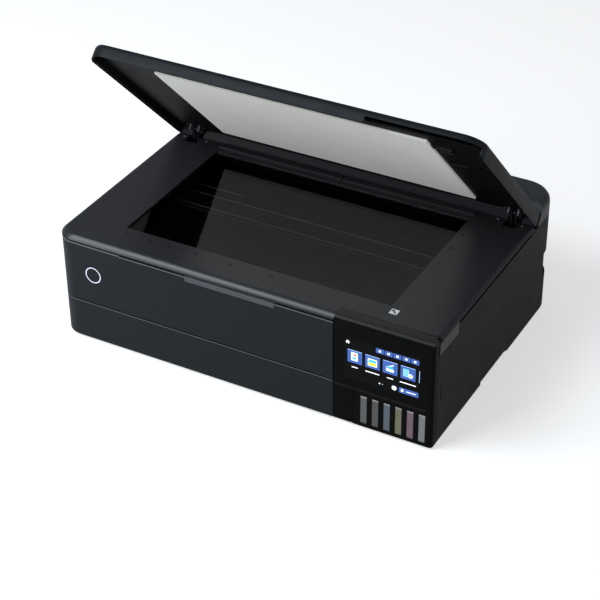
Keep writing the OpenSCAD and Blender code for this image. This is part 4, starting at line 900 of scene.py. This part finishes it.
def lid_details():
    """Small parts on the lid's inner plate, placed as with the lid closed."""
    lid_slot()
    lid_catch()
    # Painted highlight along the inner plate's lower edge
    rear = LID_PIVOT.y - 9
    form = Form().box((150, rear - 0.9, PLATE - 0.25), (RIGHT - 6, rear - 0.1, PLATE + 0.1))
    form.done("lid_plate_highlight_right", "edge_highlight", "lid", "casing", lid=True)
    # Painted highlight on the inner wall at the right front corner
    r = LID_CORNER_R
    path = arc(RIGHT - r, FRONT + LID_FRONT_GAP + r, r - RIM_STRIP_IN, -19, 36, 12)
    form = Form().strip(path, SHADE_HALF, PLATE_RIM + 5.6, PLATE_RIM + 7.2)
    form.done("lid_corner_highlight", "lip", "lid", "casing", lid=True)


# Middle of each lid hinge from the printer's middle, and the front and rear of its bracket
HINGE_X = RIGHT - 29.5
BRACKET_FRONT = 86.5
BRACKET_REAR = 101.0


def hinge(side, s):
    """Bracket on the lid and screws beside it; s is -1 on the left and 1 on the right."""
    x = s * HINGE_X
    low, high = TOP + 1.0, PLATE + 0.2
    arm = [(BRACKET_FRONT, low), (BRACKET_REAR, low), (BRACKET_REAR, TOP + 4.5), (94.0, high),
           (BRACKET_FRONT, high)]
    form = Form()
    for e in (-7.4, 5.8):
        form.prism(arm, x + e, x + e + 1.6, axis=0)
    form.box((x - 5.8, 91, TOP + 3.4), (x + 5.8, 93, TOP + 5.2))
    form.done("hinge_bracket_" + side, "hinge_metal", "lid", "casing", edge=0.2, lid=True)
    form = Form()
    for e in (-7.9, 5.3):
        form.rounded((x + e, 84.2, PLATE - 1.2), (x + e + 2.6, 88.2, high), 0.8)
    for e in (-12.6, 12.6):
        form.disc((x + e, 88.5), 1.3, PLATE - 0.7, high)
    form.done("hinge_bracket_feet_" + side, "hinge_metal", "lid", "casing", edge=0.2, lid=True)
    for k, at in enumerate(((x - s * 19.2, 97.6), (x + s * 14.4, 95.4))):
        form = Form().disc(at, 1.5, TOP - 0.02, TOP + 0.35, steps=24)
        form.done("hinge_screw_%s_%d" % (side, k + 1), "screw_dim", "scanner", "casing", edge=0.12)


def hinges():
    hinge("left", -1)
    hinge("right", 1)


# ---- Back --------------------------------------------------------------------------------

# Places of the screws on the rear panel, across and up
REAR_SCREWS = ((-206, 58), (206, 96), (-150, 132), (150, 132))
# Half the thickness of a pin in the mains inlet
PIN_HALF = 1.4


def port_details():
    low, high = corner("data_ports", 0), corner("data_ports", 1)
    form = Form()
    form.box((low.x + 7, low.y + 3, low.z + 10.2), (low.x + 12, high.y - 1.5, low.z + 12))
    form.box((high.x - 16.5, low.y + 2, low.z + 14.4), (high.x - 6.5, high.y - 2, low.z + 15.8))
    form.done("port_tongues", "socket_plastic", "base", "socket_plastic", edge=0.15)
    # Eight contacts in the wider socket, four in the narrower one
    form = Form()
    for i in range(8):
        x = high.x - 16 + 1.2 * i
        form.box((x, low.y + 2.5, low.z + 13.9), (x + 0.6, high.y - 3, low.z + 14.5))
    for i in range(4):
        x = low.x + 7.6 + 1.05 * i
        form.box((x, low.y + 3.5, low.z + 9.9), (x + 0.6, high.y - 2, low.z + 10.3))
    form.done("port_contacts", "brass_part", "base", "brass_part")


def inlet_pins():
    """The two pins in the mains inlet."""
    low, high = corner("mains_inlet", 0), corner("mains_inlet", 1)
    middle_z = (low.z + high.z) / 2
    form = Form()
    for x in (-5, 5):
        at = (low.x + high.x) / 2 + x
        form.rounded((at - PIN_HALF, low.y + 1.5, middle_z - PIN_HALF),
                     (at + PIN_HALF, high.y - 2.5, middle_z + PIN_HALF), 1.3, axis=1)
    form.done("inlet_pins", "brass_part", "base", "brass_part", edge=0.2)


def back_details():
    port_details()
    inlet_pins()
    for k, at in enumerate(REAR_SCREWS):
        form = Form().disc(at, 3.4, REAR_FACE - 0.2, REAR_FACE + 0.5, axis=1, steps=28)
        form.disc(at, 2.2, REAR_FACE + 0.5, REAR_FACE + 0.9, axis=1, steps=28)
        form.done("rear_screw_%d" % (k + 1), "screw_dim", "base", "bright_rod", edge=0.2)
    high = corner("rear_cover", 1)
    form = Form()
    for i in range(9):
        x = -24 + 6 * i
        low_end = (x - 1.2, high.y - 0.3, high.z - 14)
        form.rounded(low_end, (x + 1.2, high.y, high.z - 7), 1.1, axis=1, steps=3)
    form.done("rear_cover_grip", "edge_dark", "back_cover", "casing")


# ---- Inside ------------------------------------------------------------------------------

# Height of the encoder strip's lower and upper edge
ENCODER_LOW = 100
ENCODER_HIGH = 107


def mechanism_details():
    # Encoder strip behind the carriage and its belt
    low, high = corner("carriage_belt", 0), corner("carriage_belt", 1)
    form = Form().box((low.x + 1, high.y + 2.5, ENCODER_LOW), (high.x + 3, high.y + 2.8, ENCODER_HIGH))
    form.done("encoder_strip", "encoder", "base", "dark_inner")
    # Chips along the main board's lower edge
    low = corner("main_board", 0)
    face = low.x + CHIP_FOOT
    form = Form()
    for i in range(6):
        y = low.y + 16 + 34 * i
        form.box((face, y, low.z + 8), (face + 1.4, y + 9, low.z + 15))
    form.done("board_chips", "mark_dark", "base", "circuit", edge=0.1)
    # Lamp along the scan head
    low, high = corner("scan_head", 0), corner("scan_head", 1)
    mid = (low.x + high.x) / 2
    form = Form().box((mid - 3, low.y + 4, high.z - 0.05), (mid + 3, high.y - 4, high.z + 0.15))
    form.done("scan_lamp", "mark_white", "scan_sled", "dark_inner")


def cap_marks():
    """A round mark on each tank cap, in its ink's colour."""
    low, high = corner("tank_caps", 0), corner("tank_caps", 1)
    pitch = (high.x - low.x - CAP_WIDTH) / (TANKS - 1)
    for i in range(TANKS):
        centre = (low.x + CAP_WIDTH / 2 + pitch * i, (low.y + high.y) / 2)
        form = Form().disc(centre, 3.0, high.z - 0.05, high.z + 0.1, steps=28)
        form.done("cap_mark_%d" % (i + 1), "ink_%d" % i, "base", "ink_window")


# How far back each wire lies, its left end and its right end
CASE_WIRES = ((34, -186, -120), (16, -184, 172), (-13, -196, 176))
WIRE_HALF = 0.55
WIRE_LOW = 122.0
WIRE_HIGH = 123.0


def case_rails():
    """Wires just over the floor of the scanner case, seen through the glass."""
    for i, (y, x0, x1) in enumerate(CASE_WIRES):
        low = (x0, y - WIRE_HALF, WIRE_LOW)
        high = (x1, y + WIRE_HALF, WIRE_HIGH)
        form = Form().rounded(low, high, 0.4, axis=0, steps=3)
        form.done("case_wire_%d" % (i + 1), "wire", "scanner", "dark_inner")


# ---- Display -----------------------------------------------------------------------------

def on_display(name, colour, shapes, level=0):
    """Flat lit shapes on the display; x from its left edge, z from its bottom edge.
    Each level lies in front of the one before it."""
    low = corner("display", 0)
    y = low.y - PROUD * (level + 1)
    form = Form()
    for shape in shapes:
        outline = [(low.x + p[0], low.z + p[1]) for p in shape]
        form.prism(outline, y, y + 0.02, axis=1)
    form.done(name, "lit_" + colour, "panel", "screen")


def rect(x0, z0, x1, z1, r=0.0):
    if r:
        return round_outline(x0, z0, x1, z1, r, 4)
    return [(x0, z0), (x1, z0), (x1, z1), (x0, z1)]


def dot(x, z, r):
    return [(x + r * math.cos(t), z + r * math.sin(t)) for t in turns(20)]


def display_graphics():
    tiles = [4.5, 27.5, 50.3, 73.2]
    chips = [41.1 + 11.22 * i for i in range(5)]
    labels = [(10, 18), (28, 46), (55.8, 63.8), (72.4, 92.9)]
    on_display("screen_tiles", "blue", [rect(x, 23, x + 18.9, 41, 0.8) for x in tiles]
               + [rect(x, 47.6, x + 10.2, 54.4, 1) for x in chips] + [rect(71.6, 1.5, 96.4, 8.9, 0.8)])
    on_display("screen_tile_edges", "pale", [rect(x + 0.3, 40.2, x + 18.6, 40.8) for x in tiles], 1)
    # Home mark, page dots, round button and label bars
    on_display("screen_marks", "white", [
        [(1.9, 50.9), (4.65, 53.4), (7.4, 50.9)], rect(2.9, 48.6, 4.1, 50.9), rect(5.2, 48.6, 6.4, 50.9),
        dot(46.6, 5.2, 1.0), dot(65.4, 5.2, 3.1),
    ] + [rect(x0, 16.4, x1, 17.7) for x0, x1 in labels]
        + [rect(x + 3.6, 49.6, x + 6.6, 52.4, 0.5) for x in chips]
        + [rect(74.2, 3.2, 77.2, 7.2), rect(81, 4.6, 93, 5.8)], 1)
    on_display("screen_small_dot", "pale", [dot(50.2, 5.2, 0.6), rect(96.8, 23.6, 97.4, 40.4)], 1)
    # First tile: a sheet with a picture and a round mark
    x = tiles[0]
    on_display("screen_motif_a", "white", [rect(x + 4.6, 26.4, x + 13.4, 38, 1)], 1)
    on_display("screen_motif_a2", "cyan", [rect(x + 6.4, 28.4, x + 11.2, 31.6, 0.6)], 2)
    on_display("screen_motif_a3", "red", [dot(x + 10, 34.6, 1.7)], 2)
    # Second tile: a card with two bands
    x = tiles[1]
    on_display("screen_motif_b", "white", [rect(x + 3.4, 26.2, x + 15.4, 36.6, 1)], 1)
    on_display("screen_motif_b2", "cyan", [rect(x + 4.4, 31.4, x + 14.4, 35.2)], 2)
    on_display("screen_motif_b3", "yellow", [rect(x + 4.4, 27.2, x + 14.4, 31)], 2)
    # Third tile: a flat bed with a slanting cover
    x = tiles[2]
    on_display("screen_motif_c", "white", [rect(x + 4.4, 26.6, x + 14.2, 30.4, 0.8),
               [(x + 4.4, 31.2), (x + 14.2, 36.2), (x + 14.2, 37.6), (x + 4.4, 32.6)]], 1)
    on_display("screen_motif_c2", "cyan", [rect(x + 5.8, 31.2, x + 13.2, 33.8)], 2)
    on_display("screen_motif_c3", "green", [rect(x + 6, 27.6, x + 9.2, 29)], 2)
    # Fourth tile: a sheet with four rows, and a round wheel
    x = tiles[3]
    on_display("screen_motif_d", "pale", [rect(x + 3.4, 26.8, x + 10.6, 37.6, 0.8)], 1)
    rows = [28 + 2.6 * i for i in range(4)]
    on_display("screen_motif_d2", "cyan", [rect(x + 4.2, z, x + 9.8, z + 1.6) for z in rows], 2)
    on_display("screen_motif_d3", "white", [dot(x + 12.6, 29, 2.9)], 2)
    on_display("screen_motif_d4", "green", [dot(x + 12.6, 29, 1.6)], 3)
    on_display("screen_motif_d5", "yellow", [rect(x + 12.2, 28.6, x + 15.2, 29.6)], 4)


def ink_levels():
    """Ink in each window, with a paler head above it."""
    low, high = corner("tank_windows", 0), corner("tank_windows", 1)
    pitch = (high.x - low.x - WINDOW_WIDTH) / (TANKS - 1)
    front, back = low.y - 0.25, low.y + 0.02
    level = high.z - 2.6
    for i in range(TANKS):
        x0 = low.x + i * pitch + 0.35
        x1 = low.x + i * pitch + WINDOW_WIDTH - 0.35
        form = Form().rounded((x0, front, low.z + 0.5), (x1, back, level), 0.5, axis=1)
        form.done("ink_level_%d" % (i + 1), "ink_%d" % i, "base", "ink_window")
        form = Form().rounded((x0, front, level), (x1, back, high.z - 0.4), 0.5, axis=1)
        form.done("window_head_%d" % (i + 1), "ink_head", "base", "ink_window")


scanner_top()
finger_lip()
power_ring()
edge_lines()
lid_details()
hinges()
case_rails()
back_details()
mechanism_details()
cap_marks()
display_graphics()
ink_levels()
